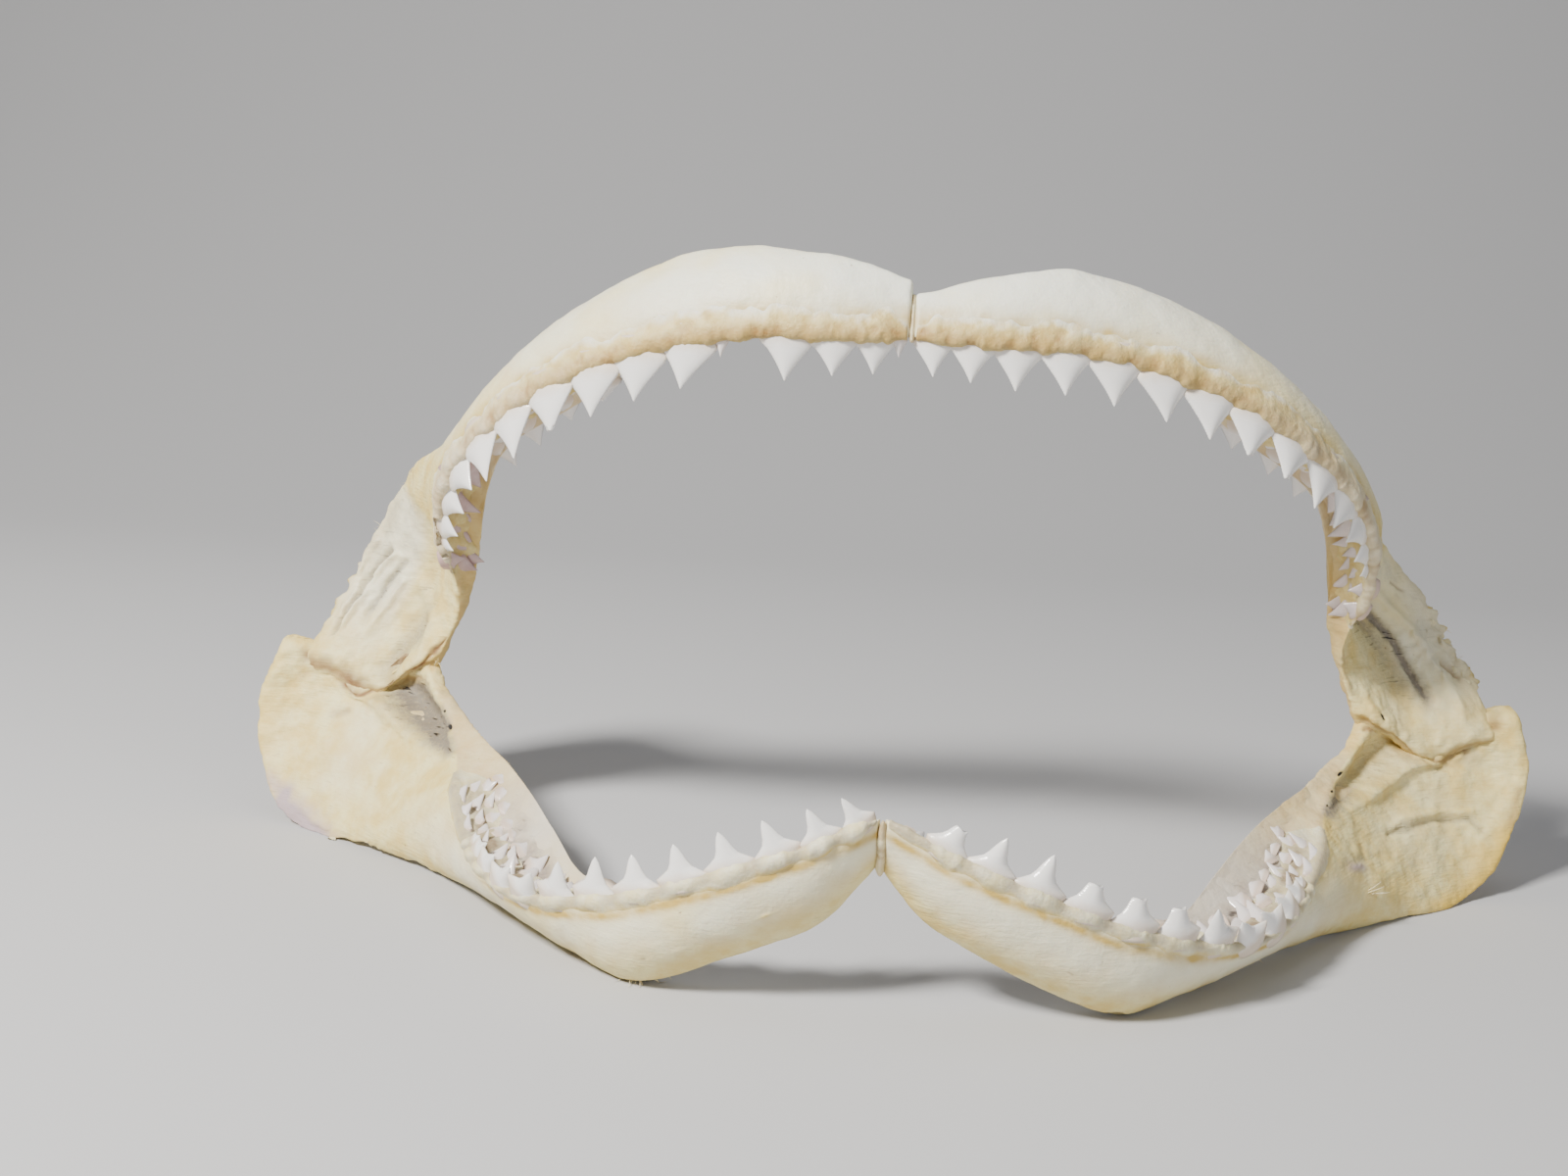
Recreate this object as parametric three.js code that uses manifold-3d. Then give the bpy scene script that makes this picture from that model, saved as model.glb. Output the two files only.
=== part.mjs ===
// The dried jaws of a requiem shark about two metres long, gaping wide and standing on the lower jaw.
// Millimetres, +Z up. The mouth faces -Y, and +X is the animal's own left.
import * as THREE from "three";
import { mergeVertices } from "three/addons/utils/BufferGeometryUtils.js";
import Module from "manifold-3d";

const wasm = await Module();
wasm.setup();

// Driving dimensions.
const JOINT_LINE_Y = 57.5; // how far the joints lie behind the middle of the whole
const BEARING_DEPTH = 1.2; // how deep the floor cuts into the lower jaw's bearing points
const MIDLINE = 0.9; // half the space between the left and right halves
const CLEARANCE = 0.3; // the gap between neighbouring pieces
const STATIONS = 40; // sections along each half jaw
const PAD_SIZE = 1.04; // size of a symphysis pad against the jaw ends that it joins
const THINNEST = 3; // least thickness of a hollowed blade
// A joint capsule: its size against the jaw ends that it joins, its swelling halfway as a share, and the
// length and growth of the seats that the jaw ends cut in it.
const CAPSULE = { size: 0.88, swell: 0.1, sections: 4, seatSections: 8, seatGrowth: 1.07 };
const FLOOR_BLOCK = { width: 600, height: 40 }; // a block that reaches past the jaws on every side

// A tooth: the depth of its root, how far behind the rim it stands, and its shares of its width or height.
const TOOTH = {
  sides: 6,
  root: 4.5,
  inset: 3,
  rootWidth: 0.84,
  thickness: 0.3,
  waistHeight: 0.4,
  waistWidth: 0.5,
  tipWidth: 0.08,
};

const COLOURS = { cartilage: 0xe9dfc4, ligament: 0xb99a66 };

// One landmark of a half jaw on the animal's left: the rim that carries the teeth, the free edge of
// the blade, the sill that ends the shelf behind the teeth, then the outward bulge of the face, the
// thickness of the free edge, the hollowing of the inner face and the depth of the tooth groove.
function landmark(rim, edge, sill, bulge, rind, hollow, groove) {
  return { rim, edge, sill, form: [bulge, rind, hollow], groove: [groove, 0, 0] };
}

// The upper jaw from the symphysis round the front teeth and down the flange to the joint.
const UPPER = {
  landmarks: [
    landmark([MIDLINE, -73.5, 173.5], [MIDLINE, -66, 185.5], [MIDLINE, -60, 172], 1.5, 6, 0.05, 2),
    landmark([25, -74, 172.5], [26, -62, 193], [26, -59, 170.5], 4, 9, 0.05, 3),
    landmark([48, -71.5, 171.5], [48, -55, 194.5], [48, -55, 169.5], 5, 10, 0.05, 4),
    landmark([75, -66, 165.5], [74, -48, 187], [76, -51, 160.5], 5, 10, 0.1, 4),
    landmark([103, -58, 154], [101, -38, 172], [95, -45.5, 147], 4.5, 9, 0.15, 5),
    landmark([126, -45, 137], [126, -24, 151.5], [119, -33, 131.5], 4, 8, 0.2, 6),
    landmark([140, -32, 119.5], [145, -6, 128], [128, -20.5, 117.5], 3, 7, 0.25, 6),
    landmark([144.5, -22.5, 100], [158, 16, 113], [132.5, -12.5, 98], 0, 6, 0.3, 4),
    landmark([141, -14, 84], [170, 24, 98], [135.5, -6.5, 84], -4, 6, 0.3, 1),
    landmark([141.5, -8.5, 72], [180, 23, 80], [139, -3.5, 74], -4, 7, 0.2, 0),
    landmark([147, -3, 61], [189, 10, 50.5], [147.5, 3, 61], 0, 9, 0, 0),
  ],
  inwardLean: 22,
  backwardLean: (t) => 3 * t,
  gumHeight: 0,
  socketDepth: 0,
  relief: upperRelief,
};

// The lower jaw from the symphysis round the front teeth and up the broad blade to the joint.
const LOWER = {
  landmarks: [
    landmark([MIDLINE, -140.7, 56.5], [MIDLINE, -132.5, 40.8], [MIDLINE, -132, 54], 1.5, 6, 0.05, 1),
    landmark([20, -143.5, 48], [19, -133.5, 22], [19.5, -132.5, 45], 4, 8, 0.1, 2),
    landmark([43, -142.5, 39], [40, -131.5, 10.5], [43, -131, 36], 5, 8, 0.15, 2),
    landmark([67, -135.5, 29], [64, -128, 1.5], [66, -124, 26], 5, 7, 0.2, 2),
    landmark([87, -124.5, 22.7], [82, -112, 2], [76.5, -111.5, 24.5], 4, 7, 0.25, 4),
    landmark([102, -111.5, 18.5], [103, -88, 2.5], [84.5, -99.5, 23], 3, 6, 0.35, 5),
    landmark([114.5, -95, 19.5], [123, -68, 2.5], [93.5, -83.5, 27.5], 2.5, 5.5, 0.45, 5),
    landmark([123.5, -76, 23.5], [143.5, -50, 1.6], [103, -68, 32.5], 2, 5, 0.5, 5),
    landmark([130, -58.5, 30.5], [165, -35, 1.2], [113, -52.5, 36.5], 1, 5, 0.5, 4),
    landmark([133, -43, 35], [187, -18, 3], [124.5, -38, 40.5], -2, 5, 0.4, 2),
    landmark([140, -26, 42], [200.5, -6, 17], [135, -23.5, 43.5], -5, 5, 0.3, 0),
    landmark([147.5, -12.5, 48], [207.5, 5, 37], [144, -9, 48], -4, 6, 0.2, 0),
    landmark([152, -4, 55], [207, 10, 58], [148.5, 1, 55.5], 0, 8, 0, 0),
  ],
  inwardLean: 18,
  backwardLean: (t) => 32 * Math.max(1 - t / 0.27, 0),
  gumHeight: 1.5,
  socketDepth: 13,
  relief: lowerRelief,
};

// The rows of teeth: where each starts along the rim, its number of teeth, which is the broadest and how
// broad, how far the others narrow to either end, the crown's height against its width, and the teeth
// that are lost (0) or broken short (below 1).
const UPPER_ROW = { count: 14, broadest: 9, frontTaper: 0.3, backTaper: 0.65, crown: 0.87 };
const LOWER_ROW = { count: 13, broadest: 8, frontTaper: 0.32, backTaper: 0.7, crown: 0.88 };
const TEETH = {
  upper_right: { ...UPPER_ROW, start: 4.2, width: 16, worn: { 4: 0, 8: 0.8 } },
  upper_left: { ...UPPER_ROW, start: 0.5, width: 15.4, worn: { 8: 0.9, 9: 0.9 } },
  lower_right: { ...LOWER_ROW, start: 1.6, width: 14.2, worn: {} },
  lower_left: { ...LOWER_ROW, start: 2.2, width: 14.8, worn: { 1: 0, 2: 0.7, 5: 0.8, 6: 0.75, 7: 0.8 } },
};

// Where the points of a section lie: on the shelf beside the rim, over the outer face from the rim to the
// free edge, back along the inner face to the sill, and on the shelf beside the sill.
const RIM_SHELF = 0.3;
const OUTER = [0, 0.2, 0.45, 0.7, 0.9, 1];
const INNER = [1, 0.85, 0.6, 0.35, 0.12, 0];
const SILL_SHELF = 0.7;
const SOCKET_START = 0.88; // where the ends of the jaws begin to curve into the joint

const ease = (x) => THREE.MathUtils.smoothstep(x, 0, 1);
const arch = (q) => 4 * q * (1 - q);
const skewArch = (q) => 6.75 * q ** 2 * (1 - q); // highest at two thirds
const bell = (x) => Math.exp(-x * x);

// Height of the outer face above its plain curve, at t along the jaw and q across it from the rim: on
// each blade a ridge runs down from the joint, with a muscle hollow between it and the rim.
function upperRelief(t, q) {
  const along = ease((t - 0.66) / 0.1) * ease((1 - t) / 0.06);
  return along * (1.5 * bell((q - 0.75) / 0.14) - 3 * bell((q - 0.42) / 0.13));
}

function lowerRelief(t, q) {
  const ridge = 0.08 + 1.7 * (t - 0.76);
  const hollow = 4 * bell((q - ridge + 0.2) / 0.1) * ease((1 - t) / 0.05);
  return ease((t - 0.74) / 0.1) * (3 * bell((q - ridge) / 0.1) - hollow);
}

// A smooth curve through one value of every landmark.
function rail(landmarks, key) {
  const points = landmarks.map((mark) => new THREE.Vector3(...mark[key]));
  return new THREE.CatmullRomCurve3(points, false, "catmullrom", 0.5);
}

// The frame and form of a half jaw at a share t of the way from the symphysis to the joint.
function sectionFrame(rails, t) {
  const rim = rails.rim.getPoint(t);
  const edge = rails.edge.getPoint(t);
  const sill = rails.sill.getPoint(t);
  const [bulge, rind, hollow] = rails.form.getPoint(t).toArray();
  const groove = rails.groove.getPoint(t).x;
  const spread = edge.clone().sub(rim).normalize(); // from the rim towards the free edge
  const out = rim.clone().sub(sill);
  out.addScaledVector(spread, -out.dot(spread)).normalize(); // out of the outer face
  return { rim, edge, sill, bulge, rind, hollow, groove, spread, out };
}

// The ring of points round one section.
function sectionRing(rails, shape, t) {
  const s = sectionFrame(rails, t);
  const socket = shape.socketDepth * ease((t - SOCKET_START) / (1 - SOCKET_START));
  const rise = (q) => s.bulge * arch(q) + shape.relief(t, q);
  const chord = (q) => s.rim.clone().lerp(s.edge, q).add(new THREE.Vector3(0, 0, -socket * skewArch(q)));
  const shelfWidth = s.sill.clone().sub(s.rim);
  const edgeWidth = s.out.clone().multiplyScalar(-s.rind);
  const wall = (q) => shelfWidth.clone().lerp(edgeWidth, q).multiplyScalar(1 - s.hollow * arch(q));
  const outer = OUTER.map((q) => chord(q).addScaledVector(s.out, rise(q)));
  const pushed = (q) => Math.min(rise(q) + wall(q).length() - THINNEST, 0);
  const inner = INNER.map((q) => chord(q).addScaledVector(s.out, pushed(q)).add(wall(q)));
  const depth = s.edge.clone().sub(s.rim).addScaledVector(edgeWidth, 0.5).normalize();
  const shelf = (q) => s.rim.clone().lerp(s.sill, q).addScaledVector(depth, s.groove * arch(q));
  return [shelf(RIM_SHELF), ...outer, ...inner, shelf(SILL_SHELF)];
}

function centre(ring) {
  return ring.reduce((sum, point) => sum.add(point), new THREE.Vector3()).divideScalar(ring.length);
}

// A closed geometry through rings of equal length. Each end is a strip of triangles that crosses the ring
// from one wall to the other.
function loft(rings) {
  const size = rings[0].length;
  const last = (rings.length - 1) * size;
  const faces = [];
  for (let j = 0; j < size; j += 1) {
    const next = (j + 1) % size;
    for (let i = 0; i < last; i += size) {
      faces.push(i + j, i + next, i + next + size, i + j, i + next + size, i + j + size);
    }
  }
  for (let a = 0, b = size - 1; a + 1 < b; a += 1, b -= 1) {
    faces.push(a, b, a + 1, a + 1, b, b - 1);
    faces.push(last + a, last + a + 1, last + b, last + a + 1, last + b - 1, last + b);
  }
  return new THREE.BufferGeometry().setFromPoints(rings.flat()).setIndex(faces);
}

// A geometry as a solid that can be joined and cut, with its faces turned out.
function solidOf(geometry) {
  for (const name of ["normal", "uv"]) geometry.deleteAttribute(name);
  const merged = mergeVertices(geometry);
  const vertProperties = merged.attributes.position.array;
  const make = (faces) =>
    new wasm.Manifold(new wasm.Mesh({ numProp: 3, vertProperties, triVerts: new Uint32Array(faces) }));
  const solid = make(merged.index.array);
  return solid.volume() > 0 ? solid : make(merged.index.array.toReversed());
}

// Rings of the animal's left moved to the side named by its sign: 1 is left and -1 is right.
function onSide(rings, side) {
  return rings.map((ring) => ring.map((point) => point.clone().setX(point.x * side)));
}

// Width of the tooth at a place in the row, counted from 1 at the symphysis.
function toothWidth(row, place) {
  const before = place < row.broadest;
  const reach = before ? row.broadest - 1 : row.count - row.broadest;
  const taper = before ? row.frontTaper : row.backTaper;
  return row.width * (1 - taper * ((place - row.broadest) / reach) ** 2);
}

// Rings of a blade-like crown, with its root sunk in the gum, at a distance along the rim.
function toothRings(rails, shape, distance, width, height, wear) {
  const t = rails.rim.getUtoTmapping(distance / rails.rim.getLength());
  const s = sectionFrame(rails, t);
  const lean = THREE.MathUtils.degToRad(shape.inwardLean);
  const tilt = THREE.MathUtils.degToRad(shape.backwardLean(t));
  const along = rails.rim.getTangent(t);
  const axis = along.clone().multiplyScalar(Math.tan(tilt));
  axis.addScaledVector(s.spread, -Math.cos(lean)).addScaledVector(s.out, -Math.sin(lean)).normalize();
  const across = along.addScaledVector(axis, -along.dot(axis)).normalize();
  const through = new THREE.Vector3().crossVectors(across, axis);
  const behind = s.sill.clone().sub(s.rim).setLength(TOOTH.inset);
  const base = s.rim.clone().add(behind).addScaledVector(s.spread, -shape.gumHeight);
  const ring = (level, share) =>
    Array.from({ length: TOOTH.sides }, (_, k) => {
      const turn = (k * 2 * Math.PI) / TOOTH.sides;
      const half = (share * width) / 2;
      const point = base.clone().addScaledVector(axis, level);
      point.addScaledVector(across, Math.cos(turn) * half);
      return point.addScaledVector(through, Math.sin(turn) * half * TOOTH.thickness);
    });
  return [
    ring(-TOOTH.root, TOOTH.rootWidth),
    ring(0, 1),
    ring(height * TOOTH.waistHeight, TOOTH.waistWidth),
    ring(height, TOOTH.tipWidth + TOOTH.waistWidth * (1 - wear)),
  ];
}

// The teeth of one half jaw, each beside the last.
function toothRow(rails, shape, row) {
  const teeth = [];
  let distance = row.start;
  for (let place = 1; place <= row.count; place += 1) {
    const width = toothWidth(row, place);
    const wear = row.worn[place] ?? 1;
    const tall = place < row.broadest ? (width + row.width) / 2 : width;
    const height = row.crown * tall * wear;
    if (wear > 0) teeth.push(toothRings(rails, shape, distance + width / 2, width, height, wear));
    distance += width;
  }
  return teeth;
}

// One half jaw with its teeth: its solid and its section rings.
function halfJaw(shape, row, side) {
  const rails = {};
  for (const key of ["rim", "edge", "sill", "form", "groove"]) rails[key] = rail(shape.landmarks, key);
  const rings = Array.from({ length: STATIONS + 1 }, (_, i) => sectionRing(rails, shape, i / STATIONS));
  let solid = solidOf(loft(onSide(rings, side)));
  for (const tooth of toothRow(rails, shape, row)) {
    solid = solid.add(solidOf(loft(onSide(tooth, side))));
  }
  return { solid, rings };
}

// The thin pad of ligament that joins the two halves at the front, which bridges their tooth grooves.
function symphysisPad(ring) {
  const flat = (x) => resized(ring, PAD_SIZE).map((point) => point.setX(x));
  const half = MIDLINE - CLEARANCE;
  return solidOf(loft([flat(-half), flat(half)])).hull();
}

// A ring drawn in or out round its centre.
function resized(ring, size) {
  const middle = centre(ring);
  return ring.map((point) => middle.clone().lerp(point, size));
}

// The end of a half jaw, a little larger and moved up by a height, to cut its seat in the capsule.
function jointSeat(rings, lift, side) {
  const grown = rings.slice(-CAPSULE.seatSections).map((ring) => resized(ring, CAPSULE.seatGrowth));
  const moved = grown.map((ring) => ring.map((point) => point.setZ(point.z + lift)));
  return solidOf(loft(onSide(moved, side)));
}

// The capsule that joins the upper and lower jaw behind the corner of the mouth.
function jointCapsule(upper, lower, side) {
  const shares = Array.from({ length: CAPSULE.sections }, (_, i) => i / (CAPSULE.sections - 1));
  const rings = shares.map((share) => {
    const ring = upper.at(-1).map((point, k) => point.clone().lerp(lower.at(-1)[k], share));
    return resized(ring, CAPSULE.size + CAPSULE.swell * arch(share));
  });
  const whole = solidOf(loft(onSide(rings, side)));
  const seats = jointSeat(upper, -CLEARANCE, side).add(jointSeat(lower, CLEARANCE, side));
  return whole.subtract(seats);
}

// Everything below the floor line, which the lower jaw is pressed flat against.
function floorBlock() {
  const block = new THREE.BoxGeometry(FLOOR_BLOCK.width, FLOOR_BLOCK.width, FLOOR_BLOCK.height);
  block.translate(0, 0, BEARING_DEPTH - FLOOR_BLOCK.height / 2);
  return solidOf(block);
}

// A solid as a named mesh of the model.
function meshOf(name, solid, finish) {
  const { vertProperties, triVerts } = solid.getMesh();
  const geometry = new THREE.BufferGeometry();
  geometry.setAttribute("position", new THREE.BufferAttribute(vertProperties, 3));
  geometry.setIndex(new THREE.BufferAttribute(triVerts, 1));
  geometry.computeVertexNormals();
  const mesh = new THREE.Mesh(geometry, finish);
  mesh.name = name;
  return mesh;
}

const material = (color, roughness) => new THREE.MeshStandardMaterial({ color, roughness, metalness: 0 });
const cartilage = material(COLOURS.cartilage, 0.45);
const ligament = material(COLOURS.ligament, 0.6);
const floor = floorBlock();
const group = new THREE.Group();
for (const [sideName, side] of Object.entries({ left: 1, right: -1 })) {
  const upper = halfJaw(UPPER, TEETH[`upper_${sideName}`], side);
  const lower = halfJaw(LOWER, TEETH[`lower_${sideName}`], side);
  group.add(meshOf(`upper_jaw_${sideName}`, upper.solid, cartilage));
  group.add(meshOf(`lower_jaw_${sideName}`, lower.solid.subtract(floor), cartilage));
  const capsule = jointCapsule(upper.rings, lower.rings, side);
  group.add(meshOf(`joint_capsule_${sideName}`, capsule, ligament));
  if (side > 0) {
    group.add(meshOf("upper_symphysis", symphysisPad(upper.rings[0]), ligament));
    group.add(meshOf("lower_symphysis", symphysisPad(lower.rings[0]), ligament));
  }
}
group.position.set(0, JOINT_LINE_Y, -BEARING_DEPTH);

export default group;
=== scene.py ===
"""The dried jaws of a requiem shark, gaping wide and standing on the lower jaw.

The mouth faces -Y, +Z is up and +X is the animal's own left. Shapes are worked out in millimetres for
the animal's left half, mirrored for its right, and turned into metres when their mesh is made.
"""

import logging
import math
from dataclasses import dataclass, field, replace
from enum import Enum
from functools import partial
from itertools import product
from typing import NamedTuple

import bpy
import numpy as np
from mathutils import Matrix, Vector


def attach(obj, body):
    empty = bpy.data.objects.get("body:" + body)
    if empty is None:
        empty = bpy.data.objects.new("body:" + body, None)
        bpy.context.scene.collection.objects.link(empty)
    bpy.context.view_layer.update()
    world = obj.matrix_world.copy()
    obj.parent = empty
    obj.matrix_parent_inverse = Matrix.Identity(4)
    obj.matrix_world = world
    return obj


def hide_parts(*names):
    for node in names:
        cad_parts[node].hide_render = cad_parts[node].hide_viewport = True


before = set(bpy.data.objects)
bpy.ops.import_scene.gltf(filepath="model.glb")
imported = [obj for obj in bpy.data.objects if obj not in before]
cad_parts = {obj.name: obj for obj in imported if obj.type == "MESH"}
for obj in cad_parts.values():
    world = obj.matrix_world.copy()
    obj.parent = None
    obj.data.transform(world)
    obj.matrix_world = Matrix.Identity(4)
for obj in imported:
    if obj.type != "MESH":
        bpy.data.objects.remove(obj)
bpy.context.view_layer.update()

Array = np.ndarray
Triple = tuple[float, float, float]
Colour = Triple  # red, green and blue
LOG = logging.getLogger("shark_jaw")

METRES = 0.001  # metres in a millimetre
JOINT_LINE_Y = 57.5  # how far the joints lie behind the middle of the whole
BEARING_DEPTH = 1.2  # how deep the floor cuts into the lower jaw's bearing points
MIDLINE = 0.9  # half the space between the left and right halves
STATIONS = 420  # sections along each half jaw
AROUND = 200  # points round each section
THINNEST = 5.0  # least thickness of a hollowed blade
CLEARANCE = 0.05  # how far above the floor the skin stays
SOCKET_START = 0.88  # where the ends of the jaws begin to curve into the joint
BLADE_SCALE = (230.0, 62.0)  # rough millimetres along and across a half jaw, to measure marks on it


class Side(Enum):
    """Which half of the animal's mouth a piece belongs to."""

    LEFT = 1
    RIGHT = -1

    @property
    def word(self) -> str:
        """The side's name in lower case."""
        return self.name.lower()


class Jaw(Enum):
    """The upper or the lower jaw."""

    UPPER = "upper"
    LOWER = "lower"


class Tint(Enum):
    """The painted masks that a surface carries as attributes."""

    BLADE = "blade"
    GUMLINE = "gumline"
    # grey patches, hollows and grooves: partly their own grey, partly painted shade in the hollows,
    # grooves and among the new teeth
    GREY = "grey"
    STAIN = "stain"
    THIN = "thin"
    LINGUAL = "lingual"
    MAUVE = "mauve"
    # painted shade: the pits are painted black
    PIT = "pit"


def ease(x: Array) -> Array:
    """A smooth step from 0 at x = 0 to 1 at x = 1."""
    held = np.clip(x, 0.0, 1.0)
    return held * held * (3.0 - 2.0 * held)


def arch(q: Array) -> Array:
    """A parabola that is 1 halfway and 0 at both ends."""
    return 4.0 * q * (1.0 - q)


def bell(x: Array) -> Array:
    """A smooth bump that is 1 at x = 0."""
    return np.exp(-x * x)


def window(x: Array, start: float, end: float, soft: float) -> Array:
    """1 between start and end, easing to 0 over a soft margin inside each."""
    return ease((x - start) / soft) * ease((end - x) / soft)


@dataclass(frozen=True)
class Ramp:
    """A smooth rise from 0 to 1, or a fall from 1 to 0 where the length is below zero."""

    start: float
    length: float

    def __call__(self, x: Array) -> Array:
        """The height at x."""
        return ease((x - self.start) / self.length)


@dataclass(frozen=True)
class Hump:
    """A smooth bump: its middle, its half-width and its height."""

    centre: float
    width: float
    height: float = 1.0

    def __call__(self, x: Array) -> Array:
        """The height at x."""
        return self.height * bell((x - self.centre) / self.width)


def unit(v: Array) -> Array:
    """Vectors of length one along the last axis."""
    return v / np.maximum(np.linalg.norm(v, axis=-1, keepdims=True), 1e-9)


def dot(a: Array, b: Array) -> Array:
    """Dot products along the last axis, which is kept."""
    return (a * b).sum(-1, keepdims=True)


def catmull(points: Array, t: Array) -> Array:
    """A smooth curve through evenly timed points.

    Args:
        points: one row for each point.
        t: shares of the way from the first point to the last.

    Returns:
        One row for each t.
    """
    last = len(points) - 1
    ends = np.vstack([2 * points[0] - points[1], points, 2 * points[-1] - points[-2]])
    place = np.clip(t, 0.0, 1.0) * last
    i = np.minimum(place.astype(int), last - 1)
    w = (place - i)[:, None]
    before, here, after, beyond = ends[i], ends[i + 1], ends[i + 2], ends[i + 3]
    slope_here, slope_after = (after - before) / 2, (beyond - here) / 2
    bend = -3 * here + 3 * after - 2 * slope_here - slope_after
    twist = 2 * here - 2 * after + slope_here + slope_after
    return here + slope_here * w + bend * w**2 + twist * w**3


@dataclass(frozen=True)
class Noise:
    """Smooth random values through space, between about -1 and 1 and the same on every run."""

    size: float
    seed: int
    octaves: int = 3
    stretch: Triple = (1.0, 1.0, 1.0)

    def __call__(self, points: Array) -> Array:
        """The value at each point.

        Args:
            points: positions in millimetres along the last axis.

        Returns:
            One value for each point.
        """
        place = points / (self.size * np.array(self.stretch))
        total = np.zeros(points.shape[:-1])
        share = 1.0
        for octave in range(self.octaves):
            total += share * self._layer(place * 2.03**octave, self.seed + 17 * octave)
            share *= 0.5
        return total

    @staticmethod
    def _layer(place: Array, seed: int) -> Array:
        """One octave of smoothed lattice values.

        Args:
            place: positions in lattice cells.
            seed: which lattice.

        Returns:
            One value from -1 to 1 for each position.
        """
        cell = np.floor(place)
        f = place - cell
        w = f * f * f * (f * (f * 6 - 15) + 10)
        cell = cell.astype(np.int64)
        total = np.zeros(place.shape[:-1])
        for corner in product((0, 1), repeat=3):
            key = (cell + np.array(corner)) * np.array([73856093, 19349663, 83492791])
            mixed = (key.sum(-1) + seed * 668265263) & 0x7FFFFFFF
            mixed = ((mixed ^ (mixed >> 13)) * 1274126177) & 0x7FFFFFFF
            mixed = ((mixed ^ (mixed >> 15)) * 374761393) & 0x7FFFFFFF
            value = ((mixed ^ (mixed >> 14)) & 0xFFFF) / 32767.5 - 1.0
            total += value * np.where(corner, w, 1.0 - w).prod(-1)
        return total


@dataclass(frozen=True)
class Mark:
    """A ridge, groove, slit, stain or pit on the outer face, along a line of (t, q) places."""

    path: tuple[tuple[float, float], ...]
    width: float
    height: float = 0.0
    tint: Tint | None = None
    strength: float = 1.0
    ragged: float = 0.0

    def amount(self, t: Array, q: Array, rough: Array) -> Array:
        """How strongly the mark shows at each place.

        Args:
            t: places along the half jaw.
            q: places across it from the rim.
            rough: noise that makes the outline ragged.

        Returns:
            1 on the mark's line, falling to 0 past its width.
        """
        scale = np.array(BLADE_SCALE)
        here = np.stack(np.broadcast_arrays(t, q), -1) * scale
        nodes = np.array(self.path) * scale
        if len(nodes) == 1:
            nodes = np.repeat(nodes, 2, axis=0)
        nearest = np.full(here.shape[:-1], 1e9)
        for a, b in zip(nodes[:-1], nodes[1:]):
            along = b - a
            share = np.clip(((here - a) @ along) / max(along @ along, 1e-9), 0.0, 1.0)
            gap = np.linalg.norm(here - a - share[..., None] * along, axis=-1)
            nearest = np.minimum(nearest, gap)
        return bell(nearest * (1.0 + self.ragged * rough) / self.width)


def landmarks(*rows: tuple) -> Array:
    """A half jaw's landmarks as a table.

    Args:
        rows: the rim that carries the teeth, the free edge of the blade and the sill that ends the
            shelf behind the teeth, then the outward bulge, the thickness of the free edge, the
            hollowing of the inner face and the depth of the tooth groove.

    Returns:
        One row of 13 numbers for each landmark.
    """
    return np.array([[*rim, *edge, *sill, *form] for rim, edge, sill, *form in rows], float)


UPPER_LANDMARKS = landmarks(
    ((MIDLINE, -73.5, 173.5), (MIDLINE, -66, 185.5), (MIDLINE, -60, 172), 1.5, 6, 0.05, 2),
    ((25, -74, 172.5), (26, -62, 193), (26, -59, 170.5), 4, 9, 0.05, 3),
    ((48, -71.5, 171.5), (48, -55, 194.5), (48, -55, 169.5), 5, 10, 0.05, 4),
    ((75, -66, 165.5), (74, -48, 187), (76, -51, 160.5), 5, 10, 0.1, 4),
    ((103, -58, 154), (101, -38, 172), (95, -45.5, 147), 4.5, 9, 0.15, 5),
    ((126, -45, 137), (126, -24, 151.5), (119, -33, 131.5), 4, 8, 0.2, 6),
    ((140, -32, 119.5), (145, -6, 128), (128, -20.5, 117.5), 3, 7, 0.25, 6),
    ((144.5, -22.5, 100), (158, 16, 113), (132.5, -12.5, 98), 0, 6, 0.3, 4),
    ((141, -14, 84), (170, 24, 98), (135.5, -6.5, 84), -4, 6, 0.3, 1),
    ((141.5, -8.5, 72), (181.5, 22, 79), (139, -3.5, 74), -4, 7, 0.2, 0),
    ((149, -5, 52.5), (201, 6.5, 44.5), (149, 2.5, 54), 0, 10, 0, 0),
)
LOWER_LANDMARKS = landmarks(
    ((MIDLINE, -140.7, 56.5), (MIDLINE, -132.5, 40.8), (MIDLINE, -132, 54), 1.5, 6, 0.05, 1),
    ((20, -143.5, 48), (19, -133.5, 22), (19.5, -132.5, 45), 4, 8, 0.1, 2),
    ((43, -142.5, 39), (40, -131.5, 10.5), (43, -131, 36), 5, 8, 0.15, 2),
    ((67, -135.5, 29), (64, -128, 1.5), (66, -124, 26), 5, 7, 0.2, 2),
    ((87, -124.5, 22.7), (82, -112, 2), (76.5, -111.5, 24.5), 4, 7, 0.25, 4),
    ((102, -111.5, 18.5), (103, -88, 2.5), (84.5, -99.5, 23), 3, 6, 0.35, 5),
    ((114.5, -95, 19.5), (123, -68, 2.5), (93.5, -83.5, 27.5), 2.5, 5.5, 0.45, 5),
    ((123.5, -76, 23.5), (143.5, -50, 1.6), (103, -68, 32.5), 2, 5, 0.5, 5),
    ((130, -58.5, 30.5), (165, -35, 1.2), (113, -52.5, 36.5), 1, 5, 0.5, 4),
    ((133, -43, 35), (187, -18, 3), (124.5, -38, 40.5), -2, 5, 0.4, 2),
    ((140, -26, 42), (200.5, -6, 17), (135, -23.5, 43.5), -5, 5, 0.3, 0),
    ((147.5, -12.5, 48), (207.5, 5, 37), (144, -9, 48), -4, 6, 0.2, 0),
    ((152, -4, 55), (207, 10, 58), (148.5, 1, 55.5), 0, 8, 0, 0),
)


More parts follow.
